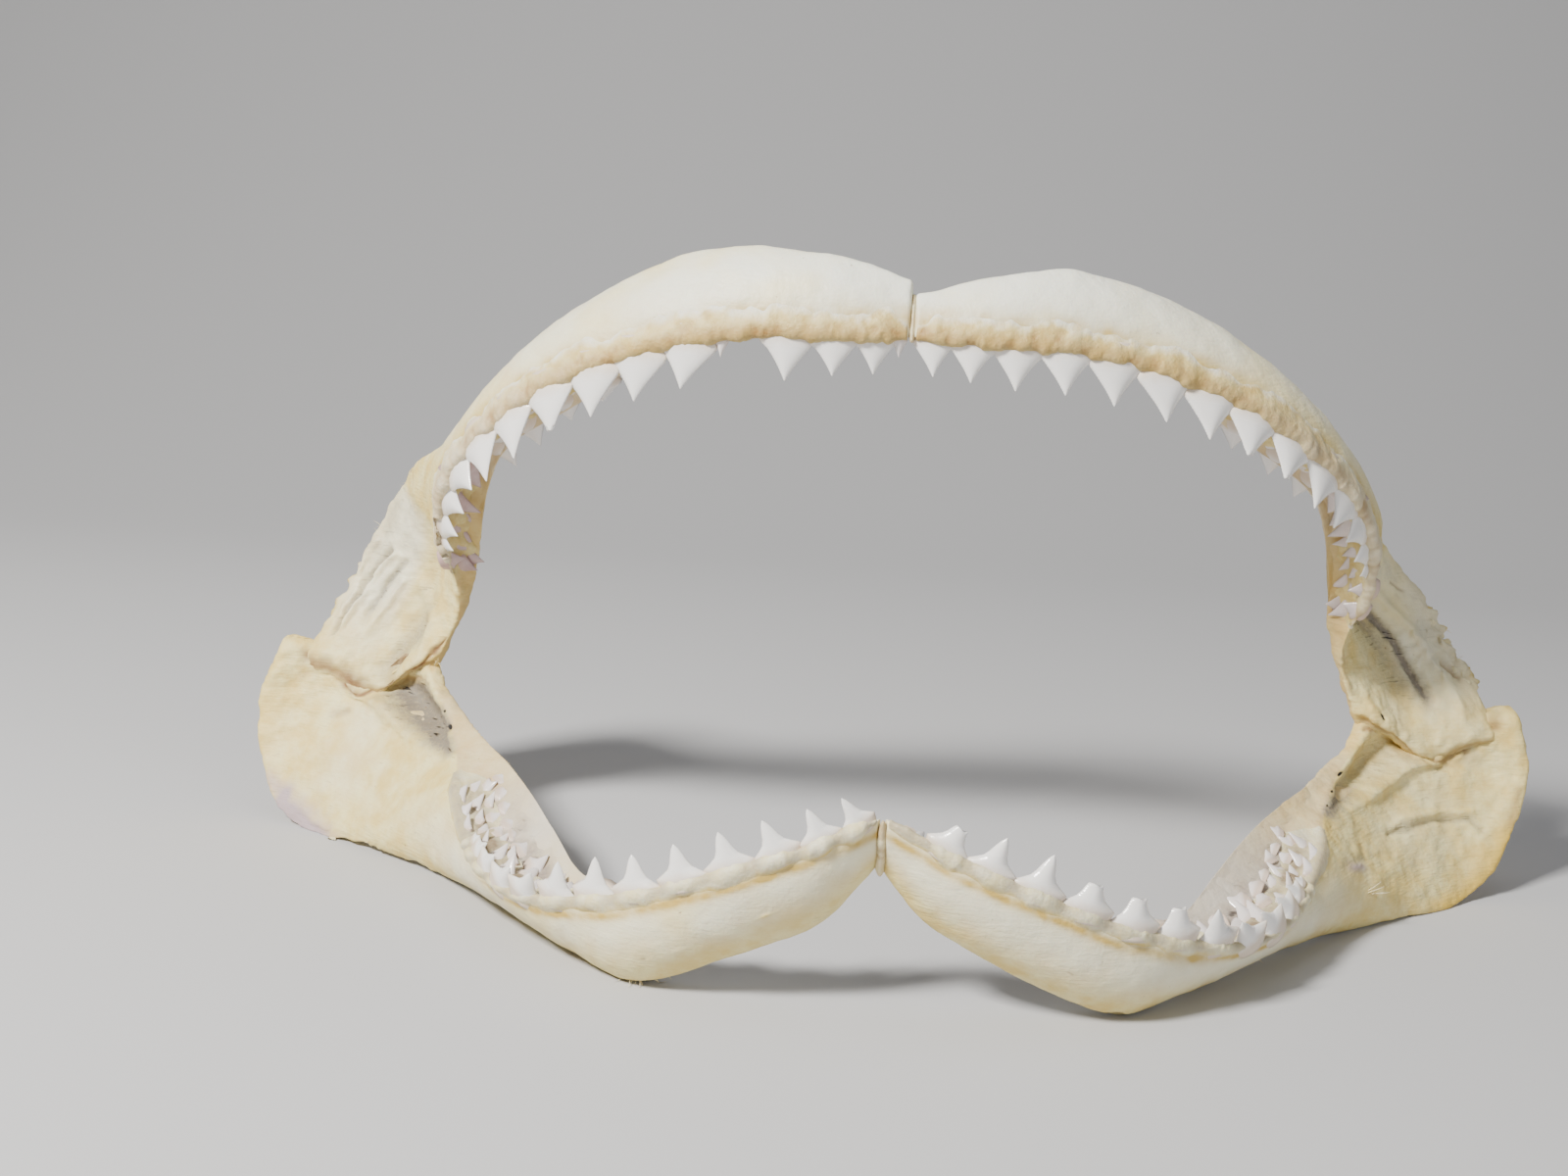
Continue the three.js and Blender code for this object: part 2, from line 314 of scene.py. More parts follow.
@dataclass(frozen=True)
class ToothRow:
    """The functional teeth of a half jaw, each beside the last along the rim.

    Places are counted from 1 at the symphysis.
    """

    count: int
    broadest: int
    front_taper: float  # shares of its width that the row loses towards either end
    back_taper: float
    crown: float  # height of a crown as a share of its width
    front_tall: float  # share by which the front crowns keep the height of the broadest
    corner: float  # t at which the corner of the mouth begins
    last_file: float  # t past which no new teeth lie
    start: float  # where the row starts along the rim
    width: float  # of the broadest tooth
    worn: dict[int, float]  # below 1 for a broken tooth, and 0 for a lost one
    splinters: tuple[float, ...] = ()  # distances along the rim to the small remnants of lost teeth

    def width_at(self, place: int) -> float:
        """Width of the tooth at a place.

        Args:
            place: the tooth's place in the row.

        Returns:
            The width in millimetres.
        """
        before = place < self.broadest
        reach = self.broadest - 1 if before else self.count - self.broadest
        taper = self.front_taper if before else self.back_taper
        bend = 3 if before else 2
        return self.width * (1 - taper * (abs(place - self.broadest) / reach) ** bend)

    def height_at(self, place: int) -> float:
        """Height of the unworn crown at a place.

        Args:
            place: the tooth's place in the row.

        Returns:
            The height in millimetres.
        """
        width = self.width_at(place)
        tall = (width + self.width) / 2 if place < self.broadest else width
        return self.crown * (tall * self.front_tall + width * (1 - self.front_tall))

    def centre_at(self, place: int) -> float:
        """Distance along the rim to the middle of the tooth at a place."""
        before = sum(self.width_at(k) for k in range(1, place))
        return self.start + before + self.width_at(place) / 2


UPPER_HOLLOW = Hump(0.42, 0.13)  # across the upper blade, the hollow that runs down to the joint


@dataclass(frozen=True)
class HalfJaw:
    """The rule that shapes one half jaw, and what sets this half apart from its mirror image."""

    jaw: Jaw
    side: Side
    table: Array = field(repr=False)
    teeth: ToothRow
    inward_lean: float  # degrees by which the working teeth lean in
    gum_height: float
    closer: float  # how far the front swells towards the other half
    socket: tuple[float, float]  # how deep the end dips at the joint, and how far across
    hollow_grey: float  # how grey the hollow above or below the joint is, its own grey deepened with painted shade
    corner_flush: float  # how pink the new teeth at the corner of the mouth are
    marks: tuple[Mark, ...]
    seed: int
    roll: float = 0.0  # height of the rounded roll above the joint
    tatter: float = 0.0  # how ragged the free edge is above the joint
    edge_shift: tuple[tuple[float, float, Triple], ...] = ()  # start, end and shift of the free edge
    chips: tuple[Triple, ...] = ()  # start, end and depth of breaks in the free edge

    @property
    def name(self) -> str:
        """Such as upper_left."""
        return f"{self.jaw.value}_{self.side.word}"

    @property
    def upper(self) -> bool:
        """Whether this is half of the upper jaw."""
        return self.jaw is Jaw.UPPER

    def relief(self, t: Array, q: Array) -> Array:
        """Height of the outer face's broad ridges and hollows above its plain curve.

        Args:
            t: places along the half jaw.
            q: places across it from the rim.

        Returns:
            Millimetres above the curve.
        """
        if self.upper:
            blade, joint = Ramp(0.66, 0.1)(t), Ramp(1, -0.06)(t)
            crest, hollow = Hump(0.75, 0.14, 1.5)(q), 3.0 * UPPER_HOLLOW(q)
            roll = self.roll * Hump(0.968, 0.03)(t) * window(q, 0.0, 1.06, 0.14)
            return blade * joint * (crest - hollow) + roll
        pocket = 6.3 * self.fossa(t, q) * Ramp(1, -0.05)(t)
        knob = 3.0 * Ramp(0.84, 0.1)(t) * Hump(0.96, 0.09)(q)
        ridge = Hump(0, 0.07, 3.6)(q - self.ridge(t))
        return Ramp(0.74, 0.1)(t) * (ridge - pocket) + knob

    @staticmethod
    def ridge(t: Array) -> Array:
        """How far across the lower blade its slanting ridge lies."""
        return 0.06 + 1.75 * (t - 0.74)

    def fossa(self, t: Array, q: Array) -> Array:
        """1 in the hollow between the lower rim and the slanting ridge, falling to 0 round it."""
        ridge = self.ridge(t)
        return bell((q - 0.5 * ridge) / (0.3 * np.maximum(ridge, 0.05))) * ease((q - 0.015) / 0.05)

    def frames(self, t: Array) -> dict[str, Array]:
        """The sections' own lines and axes.

        Args:
            t: places along the half jaw.

        Returns:
            The rim, the edge, the sill, the form, and the axes from rim to edge and outwards.
        """
        row = catmull(self.table, t)
        rim, edge, sill, form = row[:, 0:3], row[:, 3:6], row[:, 6:9], row[:, 9:13]
        for start, end, shift in self.edge_shift:
            edge = edge + window(t, start, end, (end - start) / 2)[:, None] * np.array(shift)
        spread = unit(edge - rim)
        out = rim - sill
        out = unit(out - dot(out, spread) * spread)
        return {"rim": rim, "edge": edge, "sill": sill, "form": form, "spread": spread, "out": out}

    def rim_length(self) -> tuple[Array, Array]:
        """How far the rim runs.

        Returns:
            Shares along the rim, and the distance from the symphysis to each.
        """
        t = np.linspace(0, 1, 2001)
        rim = catmull(self.table, t)[:, :3]
        steps = np.linalg.norm(np.diff(rim, axis=0), axis=1)
        return t, np.concatenate([[0.0], np.cumsum(steps)])

    def share_at(self, distance: Array) -> Array:
        """The share t along the jaw at a distance along the rim."""
        t, run = self.rim_length()
        return np.interp(distance, run, t)

    def placed(self, points: Array) -> Array:
        """Puts points where they belong in the frame.

        Args:
            points: places in millimetres on the animal's left.

        Returns:
            The same places in metres on this half's own side.
        """
        moved = points * np.array([self.side.value, 1.0, 1.0])
        moved = moved + np.array([0.0, JOINT_LINE_Y, -BEARING_DEPTH])
        return moved * METRES


UPPER_ROW = partial(ToothRow, 14, 9, 0.34, 0.65, 0.84, 0.5, corner=0.52, last_file=0.72)
LOWER_ROW = partial(ToothRow, 13, 8, 0.34, 0.7, 0.64, 1.0, corner=0.33, last_file=0.62)

UPPER_LEFT = HalfJaw(
    Jaw.UPPER,
    Side.LEFT,
    UPPER_LANDMARKS,
    UPPER_ROW(start=0.5, width=15.4, worn={8: 0.9, 9: 0.9}),
    inward_lean=22,
    gum_height=0,
    closer=0.6,
    socket=(9, 0.5),
    hollow_grey=0.5,
    corner_flush=0.5,
    roll=5.0,
    tatter=3.4,
    marks=(
        Mark(((0.765, 0.47), (0.873, 0.56), (0.94, 0.63)), 1.8, -1.4, Tint.GREY, 1.25, 0.25),
        Mark(((0.775, 0.42), (0.88, 0.47), (0.93, 0.52)), 4.5, -1.0, Tint.GREY, 0.45, 0.4),
        Mark(((0.79, 0.62), (0.88, 0.72), (0.95, 0.8)), 2.4, 1.6),
        Mark(((0.90, 0.93), (0.93, 0.97)), 2.0, 1.4, None, 1.0, 0.5),
        Mark(((0.925, 0.84), (0.935, 0.9)), 1.1, -1.2, Tint.STAIN, 0.8, 0.5),
        Mark(((0.963, 0.21),), 0.9, -1.0, Tint.PIT, 1.4),
        Mark(((0.985, 0.04), (0.995, 0.5), (0.99, 0.95)), 1.7, -0.9, Tint.STAIN, 0.8, 0.5),
        Mark(((0.83, 0.02), (0.94, 0.03)), 1.6, 0.4, Tint.STAIN, 0.5, 0.6),
        Mark(((0.79, 0.80), (0.815, 0.86)), 0.6, -0.5, Tint.STAIN, 0.7, 0.3),
    ),
    seed=11,
    edge_shift=((0.62, 0.86, (-4, 0, 0)),),
)
UPPER_RIGHT = HalfJaw(
    Jaw.UPPER,
    Side.RIGHT,
    UPPER_LANDMARKS,
    UPPER_ROW(start=4.2, width=16, worn={4: 0, 8: 0.8}, splinters=(2.6, 52.8)),
    inward_lean=22,
    gum_height=0,
    closer=0.6,
    socket=(10, 0.46),
    hollow_grey=0.3,
    corner_flush=0.95,
    roll=4.0,
    tatter=1.8,
    marks=(
        Mark(((0.86, 0.74), (0.9, 0.8), (0.945, 0.83)), 1.4, 1.7, None, 1.0, 0.3),
        Mark(((0.86, 0.80), (0.91, 0.87), (0.95, 0.88)), 1.5, -1.9, Tint.GREY, 0.8, 0.4),
        Mark(((0.87, 0.66), (0.93, 0.72)), 1.6, -1.4, Tint.GREY, 0.7, 0.4),
        Mark(((0.9, 0.60), (0.94, 0.66)), 1.2, 1.2, None, 1.0, 0.4),
        Mark(((0.935, 0.3), (0.955, 0.42)), 4.5, -1.6, Tint.GREY, 0.75, 0.35),
        Mark(((0.895, 0.5), (0.93, 0.22)), 1.6, 1.2),
        Mark(((0.985, 0.03), (0.99, 0.5), (0.985, 0.9)), 2.1, -1.1, Tint.STAIN, 1.0, 0.5),
        Mark(((0.95, 0.03), (0.985, 0.12)), 1.6, -0.8, Tint.STAIN, 1.2, 0.6),
        Mark(((0.70, 0.93), (0.712, 0.8)), 0.7, -0.4, Tint.STAIN, 0.9, 0.6),
        Mark(((0.705, 0.97),), 1.2, -0.5, Tint.GREY, 1.0),
        Mark(((0.78, 0.92), (0.86, 0.9)), 4.0, 0.3, Tint.GREY, 0.35, 0.5),
        Mark(((0.855, 0.93), (0.9, 0.96)), 1.6, 1.2, None, 1.0, 0.6),
    ),
    seed=23,
    edge_shift=(
        (-0.12, 0.17, (0, 0, 4.5)),
        (0.02, 0.6, (-1, 0, 4)),
        (0.55, 0.86, (5.5, 2, 3)),
        (0.7, 0.99, (3.5, 0, 1)),
    ),
)
LOWER_LEFT = HalfJaw(
    Jaw.LOWER,
    Side.LEFT,
    LOWER_LANDMARKS,
    LOWER_ROW(start=2.2, width=14.8, worn={1: 0, 2: 0.7, 5: 0.8, 6: 0.75, 7: 0.8}),
    inward_lean=18,
    gum_height=1.5,
    closer=0.18,
    socket=(13, 0.52),
    hollow_grey=0.45,
    corner_flush=0.28,
    marks=(
        Mark(((0.775, 0.42), (0.825, 0.62), (0.848, 0.78), (0.84, 0.86)), 1.2, -0.8, Tint.GREY, 0.5, 0.6),
        Mark(((0.79, 0.42), (0.84, 0.62), (0.858, 0.78)), 1.3, 0.9, None, 1.0, 0.6),
        Mark(((0.76, 0.02), (0.80, 0.06)), 4.0, 0.0, Tint.GREY, 1.15, 0.45),
        Mark(((0.975, 0.02), (0.985, 0.3), (0.982, 0.6), (0.985, 0.85)), 2.6, -1.2, Tint.STAIN, 1.0, 0.5),
        Mark(((0.93, 0.3), (0.95, 0.7)), 4.0, 0.0, Tint.STAIN, 0.35, 0.5),
        Mark(((0.90, 0.95), (0.86, 0.97)), 1.6, 0.0, Tint.STAIN, 0.5, 0.5),
        Mark(((0.67, 0.31), (0.685, 0.36)), 2.0, 0.3, Tint.MAUVE, 1.0, 0.5),
        Mark(((0.66, 0.25), (0.70, 0.33)), 3.5, -0.5, Tint.GREY, 0.35, 0.5),
        Mark(((0.845, 0.01),), 1.5, -0.8, Tint.PIT, 1.3),
        Mark(((0.80, 0.0),), 0.8, -0.4, Tint.PIT, 1.2),
        Mark(((0.77, 0.0),), 0.7, -0.3, Tint.PIT, 1.0),
        Mark(((0.72, 0.97), (0.84, 1.0)), 5.0, 0.0, Tint.THIN, 0.9, 0.3),
        Mark(((0.25, 0.97), (0.3, 1.0)), 2.2, -0.9, Tint.STAIN, 0.45, 0.5),
        Mark(((0.2, 0.55),), 0.5, -0.2, Tint.STAIN, 1.2),
        Mark(((0.27, 0.62),), 0.4, -0.2, Tint.PIT, 0.9),
    ),
    seed=37,
    edge_shift=((0.92, 1.08, (-4, 0, 1)), (-0.04, 0.1, (0, 0, -3.5))),
)
LOWER_RIGHT = HalfJaw(
    Jaw.LOWER,
    Side.RIGHT,
    LOWER_LANDMARKS,
    LOWER_ROW(start=1.6, width=14.2, worn={}),
    inward_lean=18,
    gum_height=1.5,
    closer=0.18,
    socket=(12, 0.46),
    hollow_grey=1.3,
    corner_flush=0.28,
    marks=(
        Mark(((0.83, 0.04), (0.9, 0.13)), 6.0, -0.6, Tint.GREY, 1.2, 0.3),
        Mark(((0.77, 0.03), (0.83, 0.08)), 3.0, 0.0, Tint.GREY, 0.9, 0.3),
        Mark(((0.985, 0.1), (0.98, 0.45), (0.985, 0.8)), 2.4, -1.0, Tint.STAIN, 1.1, 0.5),
        Mark(((0.95, 0.1), (0.955, 0.22)), 2.6, 0.0, Tint.STAIN, 0.7, 0.5),
        Mark(((0.89, 0.54), (0.885, 0.6)), 1.4, -0.5, Tint.STAIN, 0.5, 0.5),
        Mark(((0.82, 0.0),), 1.4, -0.8, Tint.PIT, 1.5),
        Mark(((0.858, 0.0),), 0.8, -0.5, Tint.PIT, 1.3),
        Mark(((0.72, 0.99), (0.765, 0.96)), 5.5, 0.0, Tint.MAUVE, 1.5, 0.2),
        Mark(((0.715, 0.91), (0.76, 0.885)), 0.9, 0.6, None, 1.0, 0.5),
        Mark(((0.79, 0.93), (0.81, 0.97)), 3.0, 0.0, Tint.MAUVE, 0.8, 0.3),
        Mark(((0.87, 0.45), (0.78, 0.62)), 9.0, 0.0, Tint.BLADE, -0.25, 0.5),
        Mark(((0.12, 0.5),), 1.8, 0.3, Tint.BLADE, 0.5, 0.5),
        Mark(((0.235, 0.62),), 0.6, -0.2, Tint.STAIN, 0.8),
    ),
    seed=53,
    edge_shift=(
        (0.58, 0.98, (8, 0, -1)),
        (0.8, 1.3, (4, 0, -2)),
        (0.92, 1.08, (-5, 0, 1)),
        (-0.02, 0.12, (0, 0, -3)),
    ),
    chips=((0.56, 0.7, 4.2), (0.615, 0.69, 3.4), (0.755, 0.775, 2.2)),
)


def end_strip(size: int, start: int) -> list[tuple[int, ...]]:
    """Faces that close a ring by crossing it from one wall to the other.

    Args:
        size: number of points in the ring.
        start: number of its first vertex, 0 for a first ring.

    Returns:
        The faces, turned to close a first ring or, past it, a last one.
    """
    faces = []
    a, b = 0, size
    while b - a > 1:
        low, high = start + a, start + b % size
        quad = (low, high, start + b - 1, start + a + 1)
        faces.append(tuple(dict.fromkeys(quad)))
        a, b = a + 1, b - 1
    return faces if start == 0 else [f[::-1] for f in faces]


def joined(rings: Array) -> tuple[Array, list[tuple[int, ...]]]:
    """A closed mesh through rings of equal length, with a strip of faces over each end.

    Args:
        rings: an array of rings by points by coordinates.

    Returns:
        The vertices and the faces, turned outwards.
    """
    count, size, _ = rings.shape
    i, j = np.meshgrid(np.arange(count - 1), np.arange(size), indexing="ij")
    a = (i * size + j).ravel()
    b = (i * size + (j + 1) % size).ravel()
    faces = np.stack([a, b, b + size, a + size], 1)
    points = rings.reshape(-1, 3)
    p = points[faces] - points.mean(0)
    volume = np.einsum("ij,ij->i", p[:, 0], np.cross(p[:, 1], p[:, 2])).sum()
    volume += np.einsum("ij,ij->i", p[:, 0], np.cross(p[:, 2], p[:, 3])).sum()
    closed = [tuple(f) for f in faces.tolist()]
    closed += end_strip(size, 0) + end_strip(size, (count - 1) * size)
    return points, [f[::-1] for f in closed] if volume < 0 else closed


def make_object(
    name: str, points: Array, faces: list, attributes: dict[str, Array] | None = None
) -> bpy.types.Object:
    """A smooth mesh object at the origin.

    Args:
        name: the piece's name.
        points: vertices in metres.
        faces: lists of vertex numbers.
        attributes: values for every vertex, as floats or as vectors.

    Returns:
        The object, linked to the scene.
    """
    mesh = bpy.data.meshes.new(name)
    mesh.from_pydata(points.tolist(), [], faces)
    for key, values in (attributes or {}).items():
        vector = values.ndim == 2
        layer = mesh.attributes.new(key, "FLOAT_VECTOR" if vector else "FLOAT", "POINT")
        layer.data.foreach_set("vector" if vector else "value", values.astype(np.float32).ravel())
    mesh.polygons.foreach_set("use_smooth", np.ones(len(mesh.polygons), bool))
    mesh.update()
    made = bpy.data.objects.new(name, mesh)
    bpy.context.scene.collection.objects.link(made)
    return made


class Skin:
    """The finished surface of a half jaw: sections along it by evenly spaced places round each.

    Place 0 of each section is the rim. The places run over the outer face to the free edge, then
    back along the inner face to the sill and over the shelf behind the teeth.
    """

    FRONT_ROUND = 1.3  # how far from the symphysis a half jaw begins to round off
    JOINT_ROUND = 4.5  # how far from the joint it does
    CORNER = 0.1  # share by which its front end draws in
    END_SHARES = (0.03, 0.3, 0.5, 0.68, 0.82, 0.92, 0.98)  # sizes of the sections that round an end
    REAR = Ramp(0.6, 0.12)
    # lumps of the surface: size, height everywhere, then what is added on the blade and by the joint
    LUMPS = ((13, 0.3, 0.45, 0.0), (3.2, 0.08, 0.15, 0.0), (2.4, 0.0, 0.0, 0.3))

    def __init__(self, half: HalfJaw) -> None:
        """Builds the surface of a half jaw.

        Args:
            half: the rule that shapes it.
        """
        self.half = half
        t, scale = self._stations()
        self.t = t
        rings, places = self._sections(t)
        middle = self._middle(rings, places)
        rings = middle + (rings - middle) * scale[:, None, None]
        centre = rings.mean(1, keepdims=True)
        drawn_in = np.where(t < 0.5, 1 - self.CORNER * (1 - scale) ** 2, 1.0)
        rings = centre + (rings - centre) * drawn_in[:, None, None]
        rings[..., 0] -= half.closer * ease(1 - rings[..., 0] / 5)
        self.places = places
        self.points = rings
        self.normals = self._normals()
        self.masks = {tint: np.zeros(places.shape) for tint in Tint}
        self._sculpt()
        self.normals = self._normals()

    @staticmethod
    def _middle(rings: Array, places: Array) -> Array:
        """The middle of the wall at every point.

        Args:
            rings: the sections' points.
            places: where each point lies round its section.

        Returns:
            A point halfway to the opposite face for each point.
        """
        across = np.where(places < 3, np.minimum(places, 3 - places), 0)
        across = np.where(places < 2, np.minimum(places, 1), across)
        middle = np.empty_like(rings)
        for i, (ring, place) in enumerate(zip(rings, places)):
            closed, code = np.vstack([ring, ring[:1]]), np.append(place, 4.0)
            for k in range(3):
                outer = np.interp(across[i], code, closed[:, k])
                inner = np.interp(3 - across[i], code, closed[:, k])
                middle[i, :, k] = (outer + inner) / 2
        return middle

    def _stations(self) -> tuple[Array, Array]:
        """Where the sections stand.

        Returns:
            Their shares along the jaw, and their sizes where the ends round off.
        """
        length = self.half.rim_length()[1][-1]
        shares = np.array(self.END_SHARES)
        near = self.FRONT_ROUND * (1 - (1 - shares**3) ** (1 / 3)) / length
        far = self.JOINT_ROUND * (1 - (1 - shares**2) ** 0.5) / length
        middle = np.linspace(self.FRONT_ROUND / length, 1 - self.JOINT_ROUND / length, STATIONS)
        t = np.concatenate([near, middle, 1 - far[::-1]])
        scale = np.concatenate([shares, np.ones(STATIONS), shares[::-1]])
        return t, scale

    def _sections(self, t: Array) -> tuple[Array, Array]:
        """Sections at each t, rounded at their corners and evenly spaced.

        Args:
            t: shares along the jaw.

        Returns:
            The rings in millimetres, and where each point lies: 0 to 1 over the outer face, to 2
            round the free edge, to 3 along the inner face and to 4 over the shelf.
        """
        half, f = self.half, self.half.frames(t)
        bulge, rind, hollow, groove = (f["form"][:, [k]] for k in range(4))
        q = np.linspace(0, 1, 97)[None]
        depth, across = half.socket
        dip = depth * ease((t - SOCKET_START) / (1 - SOCKET_START))[:, None]
        span = f["edge"] - f["rim"]
        chord = f["rim"][:, None] + span[:, None] * q[..., None]
        chord[..., 2] -= dip * bell((q - across) / 0.23)
        rise = bulge * arch(q) + half.relief(t[:, None], q)
        out = f["out"][:, None]
        outer = chord + out * rise[..., None]
        shelf_width = f["sill"] - f["rim"]
        edge_width = -f["out"] * rind
        wall = shelf_width[:, None] * (1 - q[..., None]) + edge_width[:, None] * q[..., None]
        wall = wall * (1 - hollow * arch(q))[..., None]
        slip = dot(wall, f["spread"][:, None]) / np.linalg.norm(span, axis=1)[:, None, None]
        behind = np.clip(q + slip[..., 0], 0, 1)
        overhead = bulge * arch(behind) + half.relief(t[:, None], behind)
        pushed = np.minimum(np.minimum(rise, overhead) - dot(wall, out)[..., 0] - THINNEST, 0)
        inner = (chord + out * pushed[..., None] + wall)[:, ::-1]
        s = np.linspace(1, 0, 34)[None, 1:-1]
        depth = unit(span + edge_width / 2)[:, None]
        shelf = f["rim"][:, None] + shelf_width[:, None] * s[..., None]
        shelf = shelf + depth * (groove * arch(s))[..., None]
        rings = np.concatenate([outer, inner, shelf, outer[:, :1]], 1)
        code = np.concatenate([q[0], 2 + q[0], 3 + (1 - s[0]), [4.0]])
        return self._even(rings, code, 0.35 + 0.19 * rind)

    @staticmethod
    def _even(rings: Array, code: Array, rounding: Array) -> tuple[Array, Array]:
        """Rings with evenly spaced points and rounded corners.

        Args:
            rings: one ring of points for each section, closed by a copy of its first point.
            code: where each of those points lies round the section.
            rounding: millimetres by which each section's corners are rounded.

        Returns:
            The new rings, and where each of their points lies.
        """
        share = np.arange(AROUND) / AROUND
        even = np.zeros((len(rings), AROUND, 3))
        places = np.zeros((len(rings), AROUND))
        spacing = np.zeros((len(rings), 1))
        for i, ring in enumerate(rings):
            run = np.concatenate([[0], np.cumsum(np.linalg.norm(np.diff(ring, axis=0), axis=1))])
            spots = share * run[-1]
            even[i] = np.stack([np.interp(spots, run, ring[:, k]) for k in range(3)], 1)
            places[i] = np.interp(spots, run, code)
            spacing[i] = run[-1] / AROUND
        pitch = np.fft.rfftfreq(AROUND)[None]
        kernel = np.exp(-2 * (math.pi * pitch * rounding / spacing) ** 2)
        smooth = np.fft.irfft(np.fft.rfft(even, axis=1) * kernel[..., None], AROUND, axis=1)
        return smooth, places

    def _normals(self) -> Array:
        """Which way the surface faces.

        Returns:
            An outward unit normal for each point.
        """
        around = np.roll(self.points, -1, 1) - np.roll(self.points, 1, 1)
        along = np.gradient(self.points, axis=0)
        normals = np.cross(around, along)
        middle = self.points.mean(1, keepdims=True)
        facing = ((self.points - middle) * normals).sum(-1).mean()
        return unit(normals) * (1 if facing > 0 else -1)

    def spacing(self) -> Array:
        """Millimetres between neighbouring points of each section."""
        return np.linalg.norm(np.diff(self.points, axis=1), axis=2).mean(1)

    def _sculpt(self) -> None:
        """Presses the marks, lumps, pits and ragged edges into the surface and paints its masks."""
        half, place, t = self.half, self.places, self.t[:, None]
        seed = half.seed
        outer = Ramp(1.25, -0.25)(place)
        rim_side = np.where(place > 3, -(4 - place) * 0.15, place)
        q = np.where(place < 2, np.minimum(place, 1.0 + (place - 1) * 0.1), rim_side)
        near_outer = np.maximum(outer, Ramp(3.7, 0.3)(place))
        rough = Noise(5, seed)(self.points)
        lift = np.zeros(place.shape)
        for mark in half.marks:
            amount = mark.amount(t, q, rough) * near_outer
            lift += mark.height * amount
            if mark.tint is not None:
                self.masks[mark.tint] += mark.strength * amount
        rear, joint = self.REAR(t), Ramp(0.84, 0.1)(t)
        for k, (size, everywhere, on_blade, by_joint) in enumerate(self.LUMPS, 1):
            height = everywhere + on_blade * rear + by_joint * joint
            lift += height * Noise(size, seed + k)(self.points)
        self.points = self.points + self.normals * lift[..., None]
        self._fray(rear)
        self._paint(q, rough)
        self.points[..., 2] = np.maximum(self.points[..., 2], BEARING_DEPTH + CLEARANCE)

    def _fray(self, rear: Array) -> None:
        """Makes the free edge of the blade ragged, and breaks it where the half is chipped.

        Args:
            rear: 1 on the blade, falling to 0 towards the front.
        """
        half, t = self.half, self.t[:, None]
        near_edge = Hump(1.5, 0.62)(self.places) * (self.places < 3.2)
        wave = Noise(4.5, half.seed + 4, 4)(self.points * np.array([1.0, 1.0, 0.6]))
        amount = rear * (0.9 if half.upper else 0.5) * wave
        amount = amount + 0.7 * (1 - rear) * Noise(14, half.seed + 12, 2)(self.points)
        tatters = Noise(2.6, half.seed + 5, 4)(self.points) + 0.25
        amount = amount + half.tatter * window(t, 0.84, 0.97, 0.03) * tatters
        along = np.stack([self.t * BLADE_SCALE[0], self.t * 0, self.t * 0], -1)
        jagged = 1 + 0.35 * Noise(5, half.seed + 6, 3)(along)[:, None]
        for start, end, depth in half.chips:
            amount = amount - window(t, start, end, 0.014) * depth * jagged
        spread = half.frames(self.t)["spread"][:, None]
        self.points = self.points + spread * (amount * near_edge)[..., None]

    def _paint(self, q: Array, rough: Array) -> None:
        """Paints the masks that follow from the shape.

        Args:
            q: places across the half jaw from the rim.
            rough: noise that makes the masks patchy.
        """
        index = np.arange(AROUND)[None]
        reach = np.minimum(index, AROUND - index) * self.spacing()[:, None]
        outer, inner = Ramp(1.3, -0.3)(self.places), Ramp(1.8, 0.3)(self.places)
        self.masks[Tint.BLADE] += Ramp(0.5, 0.22)(self.t[:, None]) + Hump(0, 5, 0.28)(reach) * outer
        self.masks[Tint.LINGUAL] += inner * (0.8 + 0.25 * rough)
        if self.half.upper:
            self._paint_upper(q, rough, reach, outer)
        else:
            self._paint_lower(q, rough, reach, outer)
            self.masks[Tint.MAUVE] += 0.3 * inner * window(self.t[:, None], 0.2, 0.95, 0.1)
            self.masks[Tint.LINGUAL] *= 0.55
        for tint in Tint:
            self.masks[tint] = np.clip(self.masks[tint], 0, 1.3)

    def _paint_upper(self, q: Array, rough: Array, reach: Array, outer: Array) -> None:
        """Paints what only the upper jaw has: the band over the gum, the hollow and the flange.

        Args:
            q: places across the half jaw from the rim.
            rough: noise that makes the masks patchy.
            reach: millimetres round the section from the rim.
            outer: 1 on the outer face.
        """
        masks, t = self.masks, self.t[:, None]
        band = Hump(5.5, 3.2)(reach) * Ramp(0.72, -0.08)(t) * outer
        masks[Tint.GUMLINE] += band * (0.85 + 0.5 * rough)
        masks[Tint.THIN] += Hump(1, 0.12)(q) * Ramp(0.68, 0.1)(t) * 0.25
        masks[Tint.BLADE] += (0.4 * Ramp(0.15, 0.35)(t) + Hump(0.35, 0.2, 0.12)(q)) * outer
        # the hollow down to the joint: its own grey deepened with painted shade
        hollow = UPPER_HOLLOW(q) * window(t, 0.76, 0.96, 0.06) * outer
        masks[Tint.GREY] += self.half.hollow_grey * hollow
        flange = Ramp(0.5, 0.12)(q) * window(t, 0.7, 0.97, 0.05)
        masks[Tint.BLADE] *= 1 - (0.35 + 0.4 * flange) * Ramp(0.7, 0.06)(t) * outer
        masks[Tint.GREY] += 0.22 * flange * np.clip(0.4 + rough, 0, 1) * outer

